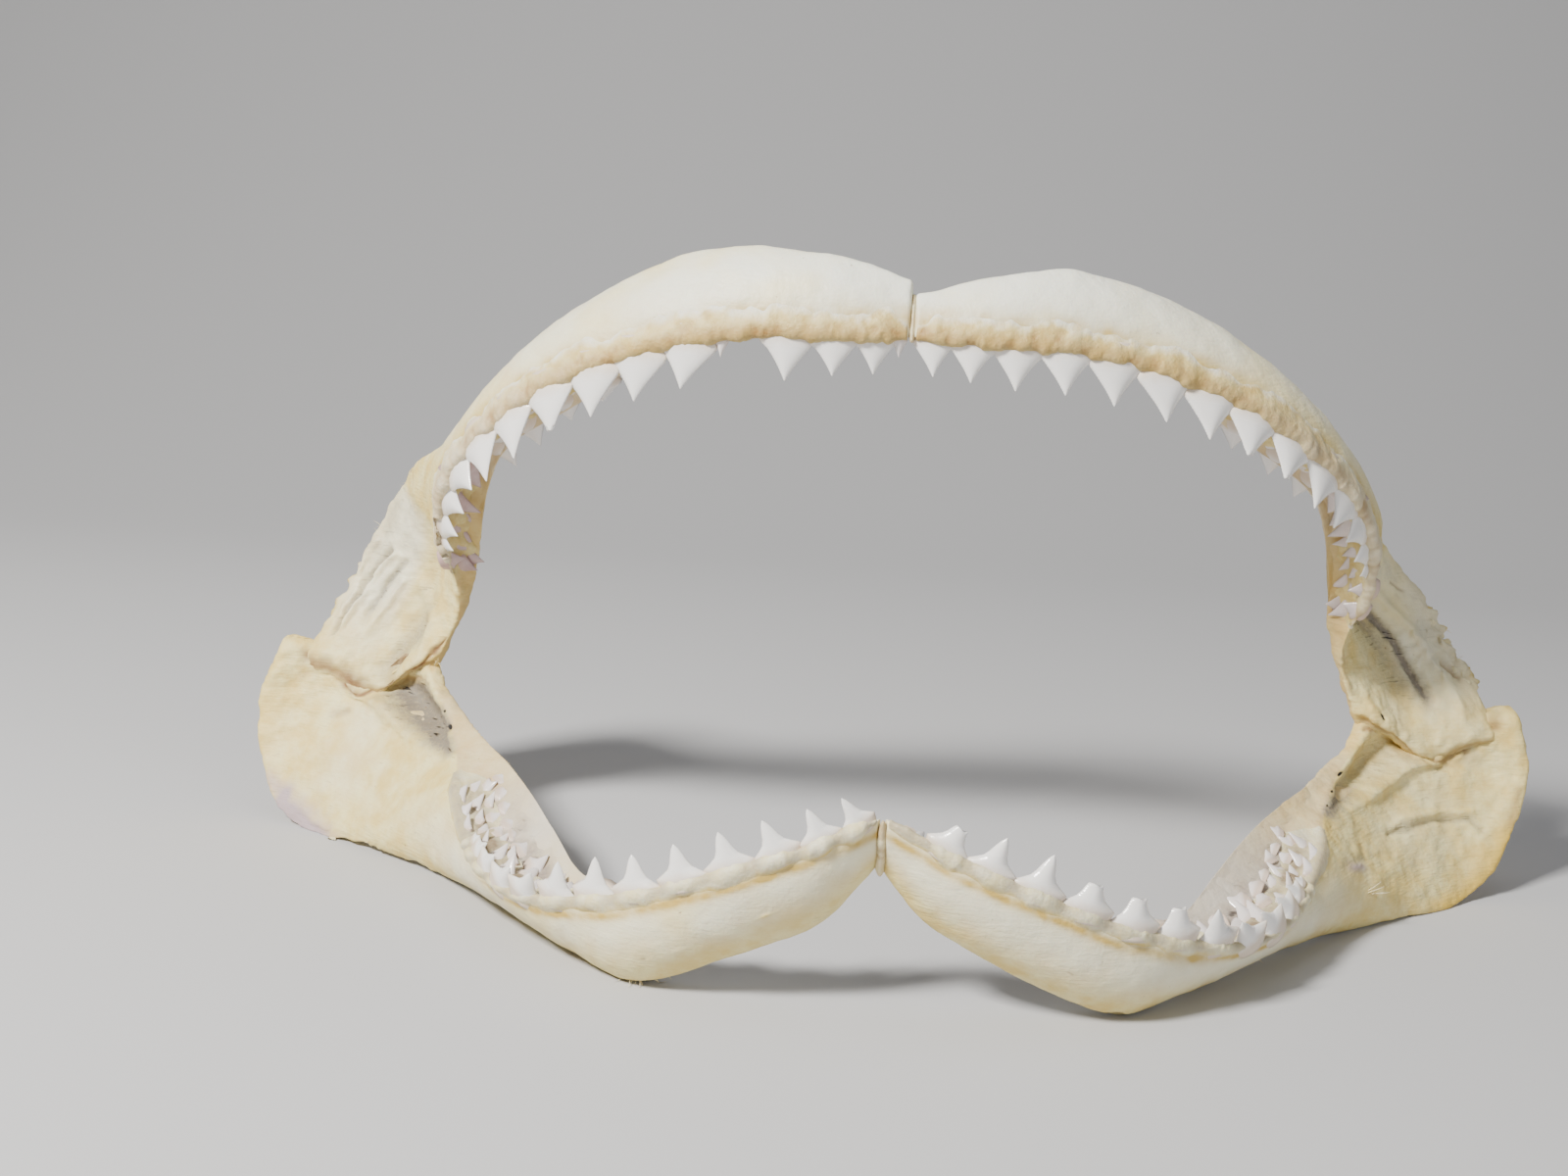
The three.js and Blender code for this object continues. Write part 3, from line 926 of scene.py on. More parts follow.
    def _paint_lower(self, q: Array, rough: Array, reach: Array, outer: Array) -> None:
        """Paints what only the lower jaw has: the line under the gum, the hollow and the shelf.

        Args:
            q: places across the half jaw from the rim.
            rough: noise that makes the masks patchy.
            reach: millimetres round the section from the rim.
            outer: 1 on the outer face.
        """
        masks, t = self.masks, self.t[:, None]
        line = Hump(4.7, 1.4, 1.35)(reach) * Ramp(0.52, -0.1)(t) * outer
        masks[Tint.GUMLINE] += line * (0.9 + 0.5 * rough)
        front = outer * (1 - Ramp(0.5, 0.22)(t))
        masks[Tint.BLADE] += (0.34 + 0.7 * Ramp(0.3, 0.6)(q)) * front
        # the fossa: its own grey deepened with painted shade
        hollow = self.half.fossa(t, q) ** 0.6 * window(t, 0.75, 0.97, 0.05) * outer
        masks[Tint.GREY] += self.half.hollow_grey * hollow
        masks[Tint.THIN] += Hump(1, 0.1)(q) * Ramp(0.6, 0.1)(t) * 0.3
        # painted shade: the shelf among the new teeth at the corner of the mouth is greyed
        shelf = Hump(3.5, 0.25)(self.places) * window(t, 0.34, 0.68, 0.06)
        masks[Tint.GREY] += shelf * (0.95 + 0.5 * rough)

    def at(self, t: Array, reach: Array) -> tuple[Array, Array, Array, Array]:
        """The surface at places given by their distance from the rim.

        Args:
            t: shares along the jaw.
            reach: millimetres round the section from the rim, below zero over the shelf.

        Returns:
            The points, their outward normals, the direction along the jaw and the direction round
            the section away from the rim over the outer face.
        """
        t, reach = np.broadcast_arrays(t, reach)
        row = np.interp(t, self.t, np.arange(len(self.t)))
        column = reach / np.interp(t, self.t, self.spacing())
        i = np.clip(np.floor(row).astype(int), 0, len(self.t) - 2)
        j = np.floor(column).astype(int)
        v, w = (row - i)[..., None], (column - j)[..., None]

        def mixed(grid: Array) -> Array:
            """Reads a grid between its four nearest points.

            Args:
                grid: one vector for each point of the surface.

            Returns:
                One vector for each place.
            """
            low = grid[i, j % AROUND] * (1 - w) + grid[i, (j + 1) % AROUND] * w
            high = grid[i + 1, j % AROUND] * (1 - w) + grid[i + 1, (j + 1) % AROUND] * w
            return low * (1 - v) + high * v

        along = unit(np.gradient(self.points, axis=0))
        around = unit(np.roll(self.points, -2, 1) - np.roll(self.points, 2, 1))
        return mixed(self.points), unit(mixed(self.normals)), unit(mixed(along)), unit(mixed(around))

    def build(self) -> bpy.types.Object:
        """Makes the half jaw.

        Returns:
            A mesh that carries the masks as attributes.
        """
        points, faces = joined(self.half.placed(self.points))
        values = {}
        for tint, mask in self.masks.items():
            values[tint.value] = mask.ravel()
        return make_object(f"cartilage_{self.half.name}", points, faces, values)


class Value:
    """A number socket of a shader tree, whose arithmetic adds Math nodes."""

    def __init__(self, tree: "ShaderTree", socket: bpy.types.NodeSocket) -> None:
        """Wraps a socket of a tree."""
        self.tree = tree
        self.socket = socket

    def _math(self, operation: str, first: "Value | float", second: "Value | float") -> "Value":
        """A Math node's result on two values."""
        made = self.tree.add("ShaderNodeMath", {"operation": operation}, {0: first, 1: second})
        return Value(self.tree, made.outputs[0])

    def __add__(self, other: "Value | float") -> "Value":
        """The sum."""
        return self._math("ADD", self, other)

    def __sub__(self, other: "Value | float") -> "Value":
        """The difference."""
        return self._math("SUBTRACT", self, other)

    def __rsub__(self, other: float) -> "Value":
        """A number less this value."""
        return self._math("SUBTRACT", other, self)

    def __mul__(self, other: "Value | float") -> "Value":
        """The product."""
        return self._math("MULTIPLY", self, other)

    __radd__ = __add__
    __rmul__ = __mul__

    def step(self, low: float, high: float) -> "Value":
        """A smooth step up.

        Args:
            low: where it leaves 0.
            high: where it reaches 1.

        Returns:
            The stepped value.
        """
        inputs = {"Value": self, "From Min": low, "From Max": high}
        made = self.tree.add("ShaderNodeMapRange", {"interpolation_type": "SMOOTHSTEP"}, inputs)
        return Value(self.tree, made.outputs[0])


class NodeTree:
    """A tree of shader or geometry nodes."""

    def __init__(self, tree: bpy.types.NodeTree) -> None:
        """Wraps a tree of Blender's."""
        self.tree = tree

    def add(self, kind: str, settings: dict | None = None, inputs: dict | None = None) -> bpy.types.Node:
        """Adds a node.

        Args:
            kind: the node's type.
            settings: its properties, set before its sockets.
            inputs: a value or a link for each socket, by name or number.

        Returns:
            The node.
        """
        node = self.tree.nodes.new(kind)
        for key, value in (settings or {}).items():
            setattr(node, key, value)
        for key, value in (inputs or {}).items():
            self.feed(node.inputs[key], value)
        return node

    def feed(self, socket: bpy.types.NodeSocket, value: object) -> None:
        """Links a socket to another, or sets its own value.

        Args:
            socket: the input to feed.
            value: a socket, a wrapped socket, a colour or a plain value.
        """
        source = value.socket if isinstance(value, Value) else value
        if isinstance(source, bpy.types.NodeSocket):
            self.tree.links.new(source, socket)
        elif isinstance(source, tuple) and socket.type == "RGBA":
            socket.default_value = (*source, 1.0)
        else:
            socket.default_value = source


class ShaderTree(NodeTree):
    """A material and its shader, built from expressions."""

    def __init__(self, name: str) -> None:
        """Starts a material with a bare Principled shader.

        Args:
            name: its name.
        """
        self.material = bpy.data.materials.new(name)
        self.material.use_nodes = True
        super().__init__(self.material.node_tree)
        self.tree.nodes.clear()
        self.shader = self.add("ShaderNodeBsdfPrincipled")
        self.add("ShaderNodeOutputMaterial", None, {"Surface": self.shader.outputs[0]})
        self.place = self.add("ShaderNodeTexCoord").outputs["Object"]

    def mask(self, name: str) -> Value:
        """A mask that the surface carries."""
        made = self.add("ShaderNodeAttribute", {"attribute_name": name})
        return Value(self, made.outputs["Fac"])

    def noise(
        self, size: float, detail: float = 3.0, stretch: Triple | None = None, turn: float = 0.0
    ) -> Value:
        """Smooth noise over the object.

        Args:
            size: size of its lumps in metres.
            detail: number of finer layers.
            stretch: how many times longer the lumps are along each axis.
            turn: turn of the stretched lumps about Y, in radians.

        Returns:
            Values around one half.
        """
        place = self.place
        if stretch:
            scale = tuple(1 / s for s in stretch)
            inputs = {"Vector": place, "Rotation": (0.0, turn, 0.0), "Scale": scale}
            place = self.add("ShaderNodeMapping", {"vector_type": "POINT"}, inputs).outputs[0]
        inputs = {"Vector": place, "Scale": 1 / size, "Detail": detail, "Roughness": 0.6}
        return Value(self, self.add("ShaderNodeTexNoise", None, inputs).outputs[0])

    def mix(self, factor: Value, low: object, high: object) -> bpy.types.NodeSocket:
        """A colour between two others."""
        settings = {"data_type": "RGBA", "clamp_factor": True}
        return self.add("ShaderNodeMix", settings, {0: factor, 6: low, 7: high}).outputs[2]

    def bump(self, height: Value, distance: float, strength: float) -> bpy.types.NodeSocket:
        """A normal that follows a height field."""
        inputs = {"Height": height, "Distance": distance, "Strength": strength}
        return self.add("ShaderNodeBump", None, inputs).outputs[0]

    def finish(self, sockets: dict[str, object]) -> bpy.types.Material:
        """Feeds the shader.

        Args:
            sockets: a value or a link for each of its sockets by name.

        Returns:
            The finished material.
        """
        for key, value in sockets.items():
            self.feed(self.shader.inputs[key], value)
        return self.material


@dataclass(frozen=True)
class CartilageFinish:
    """Dried cartilage: ivory in front, cream to honey on the blades, amber inside."""

    ivory: Colour = (0.87, 0.78, 0.46)
    bluish: Colour = (0.86, 0.86, 0.74)
    cream: Colour = (0.74, 0.56, 0.19)
    pale: Colour = (0.84, 0.74, 0.37)
    amber: Colour = (0.66, 0.43, 0.15)
    yellow: Colour = (0.76, 0.50, 0.08)
    honey: Colour = (0.58, 0.40, 0.10)
    # for the grey patches and hollows, partly painted shade in the hollows, grooves and among the new
    # teeth
    grey: Colour = (0.235, 0.20, 0.15)
    mauve: Colour = (0.46, 0.36, 0.37)
    brown: Colour = (0.24, 0.12, 0.045)
    black: Colour = (0.012, 0.009, 0.007)

    def build(self) -> bpy.types.Material:
        """Builds the shader.

        Returns:
            The material.
        """
        tree = ShaderTree("dried_cartilage")
        mask = {tint: tree.mask(tint.value) for tint in Tint}
        cloud, blotch = tree.noise(0.035, 2), tree.noise(0.009, 4)
        grain = tree.noise(0.0011, 4)
        dash = tree.noise(0.0009, 2, (7.0, 7.0, 1.0), 0.5)
        front = tree.mix(cloud.step(0.28, 0.55), self.ivory, self.bluish)
        rear = tree.mix(blotch.step(0.32, 0.7), self.cream, self.pale)
        colour = tree.mix(mask[Tint.BLADE] * cloud.step(0.1, 0.45), front, rear)
        colour = tree.mix(mask[Tint.LINGUAL] * (0.45 + 0.5 * blotch), colour, self.amber)
        colour = tree.mix(mask[Tint.THIN] * (0.3 + 0.9 * blotch), colour, self.yellow)
        colour = tree.mix(mask[Tint.GUMLINE] * (0.25 + blotch), colour, self.honey)
        # grey in patches, hollows and grooves: partly their own colour, partly painted shade
        colour = tree.mix(mask[Tint.GREY] * (0.35 + 0.9 * grain), colour, self.grey)
        colour = tree.mix(mask[Tint.MAUVE] * 0.85, colour, self.mauve)
        colour = tree.mix(mask[Tint.STAIN] * (0.15 + 1.3 * blotch), colour, self.brown)
        dashes = dash.step(0.6, 0.7)
        colour = tree.mix(dashes * mask[Tint.BLADE] * blotch.step(0.5, 0.66) * 0.32, colour, self.brown)
        colour = tree.mix(dashes * mask[Tint.GREY] * 0.75, colour, self.black)
        pores = tree.noise(0.0016, 1).step(0.78, 0.84)
        colour = tree.mix(pores * 0.55, colour, self.brown)
        # painted shade: black in the pits
        colour = tree.mix(mask[Tint.PIT].step(0.35, 0.75), colour, self.black)
        rough = 0.36 + 0.16 * mask[Tint.BLADE] + 0.12 * grain
        height = grain * 0.6 + dash * (0.2 + mask[Tint.BLADE]) * 0.9 + blotch * 1.2 - pores * 0.5
        sockets = {
            "Base Color": colour,
            "Roughness": rough,
            "Normal": tree.bump(height, 0.0006, 0.5),
            "Subsurface Weight": 0.08,
            "Subsurface Radius": (1.0, 0.6, 0.3),
            "Subsurface Scale": 0.004,
            "Specular IOR Level": 0.42,
        }
        return tree.finish(sockets)


@dataclass(frozen=True)
class EnamelFinish:
    """Tooth enamel: white and glossy, warmer and duller towards the root."""

    crown: Colour = (0.88, 0.86, 0.83)
    root: Colour = (0.72, 0.60, 0.47)
    pink: Colour = (0.52, 0.34, 0.33)

    def build(self) -> bpy.types.Material:
        """Builds the shader.

        Returns:
            The material.
        """
        tree = ShaderTree("tooth_enamel")
        rise, flush = tree.mask("rise"), tree.mask("flush")
        blotch = tree.noise(0.003, 3)
        colour = tree.mix((rise + 0.25 * blotch).step(-0.05, 0.42), self.root, self.crown)
        colour = tree.mix(flush * (0.6 + 0.6 * blotch), colour, self.pink)
        sockets = {
            "Base Color": colour,
            "Roughness": 0.2 + 0.25 * (1 - rise.step(0.0, 0.35)),
            "Normal": tree.bump(tree.noise(0.0007, 2, (1.0, 1.0, 5.0)), 0.00015, 0.15),
            "Subsurface Weight": 0.05,
            "Subsurface Radius": (1.0, 0.7, 0.5),
            "Subsurface Scale": 0.002,
            "Coat Weight": 0.25,
            "Coat Roughness": 0.12,
        }
        return tree.finish(sockets)


@dataclass(frozen=True)
class TissueFinish:
    """Dried soft tissue: its colours from pale to dark, and how wrinkled it is."""

    name: str
    pale: Colour
    middle: Colour
    dark: Colour
    wrinkle: float = 0.0008
    stretch: Triple = (1.0, 1.0, 1.0)
    roughness: float = 0.5
    margin: Colour = (0.85, 0.82, 0.70)

    def build(self) -> bpy.types.Material:
        """Builds the shader.

        Returns:
            The material.
        """
        tree = ShaderTree(self.name)
        shade = tree.mask("shade")
        blotch, fine = tree.noise(0.0045, 4), tree.noise(self.wrinkle, 4, self.stretch)
        colour = tree.mix(blotch.step(0.3, 0.68), self.middle, self.pale)
        # the shade mask darkens the colour: painted shade on the gum and the seam, the darker fibres of
        # the joint capsule
        colour = tree.mix(shade * (0.35 + 1.2 * blotch), colour, self.dark)
        colour = tree.mix(tree.mask("fade") * (0.7 + 0.5 * fine), colour, self.margin)
        sockets = {
            "Base Color": colour,
            "Roughness": self.roughness - 0.15 + 0.3 * fine,
            "Normal": tree.bump(fine + blotch * 0.8, 0.0006, 0.5),
            "Subsurface Weight": 0.12,
            "Subsurface Radius": (1.0, 0.55, 0.3),
            "Subsurface Scale": 0.002,
        }
        return tree.finish(sockets)


def plain_finish(name: str, colour: Colour, roughness: float) -> bpy.types.Material:
    """A material of one colour."""
    return ShaderTree(name).finish({"Base Color": colour, "Roughness": roughness})


class Planter(NodeTree):
    """A Geometry Nodes tree that stands a shape on every point of a mesh.

    Each point carries its turn, its size and which of the shapes it takes.
    """

    INPUTS = (("Size", "Float"), ("Jitter", "Float"), ("Seed", "Int"), ("Material", "Material"))

    def __init__(self, shapes: int) -> None:
        """Builds the tree.

        Args:
            shapes: how many shapes it can choose from.
        """
        super().__init__(bpy.data.node_groups.new(f"planted_shapes_{shapes}", "GeometryNodeTree"))
        face = self.tree.interface
        face.new_socket("Geometry", in_out="INPUT", socket_type="NodeSocketGeometry")
        for k in range(shapes):
            face.new_socket(f"Shape {k}", in_out="INPUT", socket_type="NodeSocketObject")
        for name, kind in self.INPUTS:
            face.new_socket(name, in_out="INPUT", socket_type=f"NodeSocket{kind}")
        face.new_socket("Geometry", in_out="OUTPUT", socket_type="NodeSocketGeometry")
        source = self.add("NodeGroupInput").outputs
        turn = self._named("turn", "FLOAT_VECTOR")
        standing = self.add("FunctionNodeEulerToRotation", None, {0: turn}).outputs[0]
        reach = self._scaled((1.0, 1.0, 1.0), source["Jitter"])
        span = {"Min": self._scaled(reach, -1.0), "Max": reach, "Seed": source["Seed"]}
        random = self.add("FunctionNodeRandomValue", {"data_type": "FLOAT_VECTOR"}, span).outputs[0]
        nudge = self.add("FunctionNodeEulerToRotation", None, {0: random}).outputs[0]
        settings = {"rotation_space": "LOCAL"}
        turned = self.add("FunctionNodeRotateRotation", settings, {0: standing, 1: nudge}).outputs[0]
        size = self._scaled(self._named("extent", "FLOAT_VECTOR"), source["Size"])
        variant = self._named("variant", "INT")
        merged = self.add("GeometryNodeJoinGeometry")
        for k in range(shapes):
            same = {"data_type": "INT", "operation": "EQUAL"}
            chosen = self.add("FunctionNodeCompare", same, {2: variant, 3: k})
            shape = self.add("GeometryNodeObjectInfo", None, {"Object": source[f"Shape {k}"]})
            planted = {
                "Points": source["Geometry"],
                "Selection": chosen.outputs[0],
                "Instance": shape.outputs["Geometry"],
                "Rotation": turned,
                "Scale": size,
            }
            placed = self.add("GeometryNodeInstanceOnPoints", None, planted)
            self.tree.links.new(placed.outputs[0], merged.inputs[0])
        real = self.add("GeometryNodeRealizeInstances", None, {0: merged.outputs[0]})
        clothes = {"Geometry": real.outputs[0], "Material": source["Material"]}
        dressed = self.add("GeometryNodeSetMaterial", None, clothes)
        self.add("NodeGroupOutput", None, {0: dressed.outputs[0]})

    def _named(self, name: str, kind: str) -> bpy.types.NodeSocket:
        """The value of a named attribute of the points."""
        settings = {"data_type": kind}
        return self.add("GeometryNodeInputNamedAttribute", settings, {"Name": name}).outputs[0]

    def _scaled(self, vector: object, factor: object) -> bpy.types.NodeSocket:
        """A vector times a number, each a value or a link."""
        inputs = {0: vector, "Scale": factor}
        return self.add("ShaderNodeVectorMath", {"operation": "SCALE"}, inputs).outputs[0]

    def plant(
        self, name: str, spots: "Spots", shapes: list[bpy.types.Object], settings: dict[str, object]
    ) -> bpy.types.Object:
        """Plants the shapes and turns the result into a plain mesh.

        Args:
            name: the piece's name.
            spots: where the shapes go.
            shapes: the objects that hold the shapes.
            settings: values of the tree's other inputs by name.

        Returns:
            The piece, at the origin.
        """
        base = spots.base(name + "_spots")
        modifier = base.modifiers.new("planted", "NODES")
        modifier.node_group = self.tree
        given = {f"Shape {k}": shape for k, shape in enumerate(shapes)} | settings
        for item in self.tree.interface.items_tree:
            if item.in_out == "INPUT" and item.name in given:
                modifier[item.identifier] = given[item.name]
        bpy.context.view_layer.update()
        graph = bpy.context.evaluated_depsgraph_get()
        mesh = bpy.data.meshes.new_from_object(base.evaluated_get(graph))
        mesh.name = name
        base.modifiers.remove(modifier)
        bpy.data.objects.remove(base)
        for spare in ("turn", "extent", "variant"):
            if spare in mesh.attributes:
                mesh.attributes.remove(mesh.attributes[spare])
        made = bpy.data.objects.new(name, mesh)
        bpy.context.scene.collection.objects.link(made)
        return made


class Spot(NamedTuple):
    """A place to plant a shape on."""

    place: Array
    turn: Triple
    extent: Triple
    variant: int  # which shape
    flush: float  # how pink it is


class Spots:
    """The places to plant shapes on along a half jaw."""

    def __init__(self, half: HalfJaw) -> None:
        """Starts with no places."""
        self.half = half
        self.rows: list[Spot] = []

    def add(
        self, base: Array, across: Array, axis: Array, extent: Triple, variant: int = 0, flush: float = 0
    ) -> None:
        """Adds a place.

        Args:
            base: the middle of the shape's foot, in millimetres on the animal's left.
            across: the shape's own X, roughly.
            axis: the shape's own Z.
            extent: its sizes along X, Y and Z in millimetres.
            variant: which shape.
            flush: how pink it is.
        """
        mirror = np.array([self.half.side.value, 1.0, 1.0])
        z = unit(axis * mirror)
        x = across * mirror
        x = unit(x - dot(x, z) * z)
        y = np.cross(z, x)
        turn = Matrix(np.stack([x, y, z], 1).tolist()).to_euler()
        size = tuple(e * METRES for e in extent)
        self.rows.append(Spot(self.half.placed(base), tuple(turn), size, variant, flush))

    def base(self, name: str) -> bpy.types.Object:
        """A mesh with a vertex at each place, which carries the rest as attributes.

        Args:
            name: the mesh's name.

        Returns:
            The mesh object.
        """
        points, turn, extent, variant, flush = (np.array(column) for column in zip(*self.rows))
        made = make_object(name, points, [], {"turn": turn, "extent": extent, "flush": flush})
        layer = made.data.attributes.new("variant", "INT", "POINT")
        layer.data.foreach_set("value", variant.tolist())
        return made


@dataclass(frozen=True)
class Crown:
    """The shape of a tooth of unit width, depth and height, with its points in +Z.

    The front half-width and the back half-width are given at levels up the crown; +X is the side
    away from the symphysis.
    """

    levels: tuple[float, ...]
    front: tuple[float, ...]
    back: tuple[float, ...]
    sweep: float = 0.0
    serrations: int = 0
    serration: float = 0.0
    rings: int = 44
    around: int = 18
    cut: float = 1.0  # the level at which the crown is broken off

    FOOT = -0.42  # the level of the foot, which is sunk in the gum

    def build(self, name: str, lingual: int) -> bpy.types.Object:
        """The crown as an object.

        Args:
            name: the object's name.
            lingual: 1 where +Y is the tongue's side, and -1 where it is the lip's.

        Returns:
            The object, linked to the scene so that it can be evaluated.
        """
        root = np.linspace(self.FOOT, 0.0, 6)[:-1]
        top = np.linspace(0, 1, self.rings) ** 0.92 * min(self.cut, 0.995)
        z = np.concatenate([root, top])[:, None]
        turn = (np.arange(self.around) * 2 * math.pi / self.around)[None]
        side = np.cos(turn)
        back, front = (np.interp(z, self.levels, widths) for widths in (self.back, self.front))
        half_width = np.where(side > 0, back, front)
        saw = np.abs((z * self.serrations) % 1.0 - 0.5) * 2 - 0.5
        edge = np.abs(side) ** 6
        half_width = half_width + self.serration * saw * edge * (z > 0.03) * (z < 0.96)
        root_fade = np.where(z < 0, 1 + 0.25 * z, 1.0)
        x = self.sweep * np.clip(z, 0, 1) ** 1.6 + side * np.abs(half_width) * root_fade
        depth = 0.5 * (1 - np.clip(z, 0, 1)) ** 0.75 + 0.03
        depth = np.where(z < 0, 0.5 + 0.4 * np.abs(z), depth)
        bow = np.sign(np.sin(turn)) * np.abs(np.sin(turn)) ** 1.5
        tongue = np.sin(turn) * lingual > 0
        y = depth * bow * np.where(tongue, 1.0, 0.5)
        lean = -0.12 * lingual * np.clip(z, 0, 1) ** 2
        if self.cut < 1:
            jag = 0.03 * np.sin(turn * 3 + 1.0) * (z > self.cut - 0.06)
            z = z + jag
        rings = np.stack(np.broadcast_arrays(x, y + lean, z), -1)
        points, faces = joined(rings)
        rise = np.clip(np.broadcast_to(z, x.shape).ravel(), -0.5, 1)
        return make_object(name, points, faces, {"rise": rise})


LEVELS = (Crown.FOOT, -0.2, 0.0, 0.07, 0.15, 0.28, 0.45, 0.65, 0.85, 1.0)
BROAD = Crown(
    LEVELS,
    (0.48, 0.53, 0.56, 0.55, 0.51, 0.42, 0.31, 0.185, 0.08, 0.008),
    (0.48, 0.53, 0.56, 0.535, 0.47, 0.355, 0.25, 0.15, 0.065, 0.006),
    serrations=17,
    serration=0.014,
)
BROAD_WORN = replace(BROAD, cut=0.88)
NARROW = Crown(
    LEVELS,
    (0.47, 0.51, 0.52, 0.455, 0.37, 0.255, 0.19, 0.14, 0.08, 0.006),
    (0.47, 0.51, 0.52, 0.445, 0.355, 0.24, 0.175, 0.13, 0.075, 0.006),
    sweep=0.03,
    serrations=15,
    serration=0.007,
)
STUMP = (0.47, 0.51, 0.52, 0.47, 0.39, 0.28, 0.21, 0.16, 0.1, 0.05)
NARROW_WORN = replace(NARROW, front=STUMP, back=STUMP, cut=0.7)
BUD = Crown(LEVELS, BROAD.front, BROAD.back, 0.16, rings=9, around=10)
SPIKE = Crown(
    LEVELS,
    (0.5, 0.55, 0.57, 0.53, 0.45, 0.34, 0.25, 0.17, 0.1, 0.01),
    (0.5, 0.55, 0.57, 0.52, 0.43, 0.31, 0.22, 0.15, 0.09, 0.01),
    0.2,
    rings=9,
    around=10,
)


@dataclass(frozen=True)
class Lie:
    """How the new teeth lie in the files of one stretch of a half jaw."""

    ranks: int  # how many teeth a file has
    tip: float  # degrees by which the first of them tips over the shelf
    tip_spread: float
    sway: float  # how far they lean along the row
    size: float
    least: float  # least height as a share of the width
    height_spread: float
    sunk: float  # how deep their feet stand in the shelf


FRONT_LIE = Lie(3, 40, 6, 0.12, 0.84, 0.0, 0.05, 0.9)
UPPER_CORNER_LIE = Lie(2, 22, 14, 0.28, 0.92, 0.8, 0.14, 0.55)
LOWER_CORNER_LIE = Lie(3, 22, 14, 0.28, 0.92, 0.62, 0.14, 0.55)


@dataclass(frozen=True)
class Dentition:
    """The teeth of a half jaw: the working row on the rim and the files of new teeth behind it."""

    skin: Skin
    inset: float = 2.2  # how far behind the rim the working teeth stand
    thickness: float = 0.34  # of a crown as a share of its width
    file_step: float = 4.0  # between the teeth of a file
    rank_tip: float = 22.0  # degrees by which each tips further than the one before it
    rank_shrink: float = 0.07
    narrowest: float = 8.2  # least width of a new tooth
    crowding: float = 0.95  # width of the files past the working row, as a share of their teeth's
    front_flush: float = 0.12
    stagger: float = 1.6  # degrees by which working teeth stand out of line
    uneven: float = 0.03  # how much their heights differ
    splinter: Triple = (4.4, 2.8, 5.2)
    splinter_flush: float = 0.3

    def working_row(self) -> Spots:
        """Sets the working teeth along the rim, leaving out the lost ones.

        Returns:
            A spot for each tooth and each remnant.
        """
        half = self.skin.half
        spots = Spots(half)
        row = half.teeth
        draw = np.random.default_rng(half.seed)
        spread = 1.1 if half.upper else 1.04
        for place in range(1, row.count + 1):
            wear = row.worn.get(place, 1.0)
            wobble = draw.normal(0, 1, 3)
            if wear == 0:
                continue
            base, along, axis = self._stance(row.centre_at(place), wobble * self.stagger)
            width = row.width_at(place)
            height = row.height_at(place) * (1 + self.uneven * wobble[2])
            extent = (width * spread, self.thickness * width, height)
            spots.add(base, along, axis, extent, 1 if wear < 1 else 0)
        for distance in row.splinters:
            base, along, axis = self._stance(distance, np.zeros(3))
            spots.add(base, along, axis, self.splinter, 0, self.splinter_flush)
        return spots

    def _stance(self, distance: float, wobble: Array) -> tuple[Array, Array, Array]:
        """How a tooth stands.

        Args:
            distance: millimetres along the rim.
            wobble: degrees by which it leans in and along the row.

        Returns:
            Its base, the direction along the row and its axis.
        """
        half = self.skin.half
        t = half.share_at(np.array([distance]))
        f = {key: value[0] for key, value in half.frames(t).items()}
        along = unit(half.frames(t + 0.004)["rim"][0] - half.frames(t - 0.004)["rim"][0])
        lean = math.radians(half.inward_lean + wobble[0])
        tilt = -2.0 if half.upper else 32 * max(1 - t[0] / 0.27, 0)
        axis = along * math.tan(math.radians(tilt + wobble[1]))
        axis = unit(axis - f["spread"] * math.cos(lean) - f["out"] * math.sin(lean))
        base = f["rim"] + unit(f["sill"] - f["rim"]) * self.inset - f["spread"] * half.gum_height
        return base, along, axis

    def new_rows(self) -> Spots:
        """Lays the files of new teeth, tipped over the shelf towards the tongue.

        Returns:
            A spot for each tooth.
        """
        half, skin = self.skin.half, self.skin
        row = half.teeth
        spots = Spots(half)
        draw = np.random.default_rng(half.seed + 100)
        corner_lie = UPPER_CORNER_LIE if half.upper else LOWER_CORNER_LIE
        place, t = 0, 0.0
        while t < row.last_file:
            place += 1
            inside = min(place, row.count)
            width = max(row.width_at(inside), self.narrowest)
            centre = row.centre_at(inside) + (place - inside) * width * self.crowding
            t = float(half.share_at(np.array([centre]))[0])
            corner = t > row.corner
            lie = corner_lie if corner else FRONT_LIE
            flush = half.corner_flush if corner else self.front_flush
            for rank in range(0 if place > row.count else 1, lie.ranks + 1):
                wobble = draw.normal(0, 1, 4)
                shift = (0.25 * width if rank % 2 else 0.0) + 0.5 * wobble[0]
                where = half.share_at(np.array([centre + shift]))
                reach = np.array([-(self.inset + self.file_step * rank)])
                point, normal, along, around = (v[0] for v in skin.at(where, reach))
                tip = math.radians(lie.tip + self.rank_tip * rank + lie.tip_spread * wobble[1])
                axis = normal * math.cos(tip) - around * math.sin(tip)
                axis = axis + along * lie.sway * wobble[2]
                size = lie.size - self.rank_shrink * rank
                height = max(row.height_at(inside), lie.least * width) * size
                height *= 1 + lie.height_spread * wobble[3]
                extent = (width * size * 1.1, self.thickness * width * size * 1.25, height)
                spots.add(point - normal * lie.sunk, along, axis, extent, 0, flush)
        return spots

    def lingual(self) -> int:
        """1 where a tooth's own +Y faces the tongue on this half."""
        half = self.skin.half
        return half.side.value * (1 if half.upper else -1)

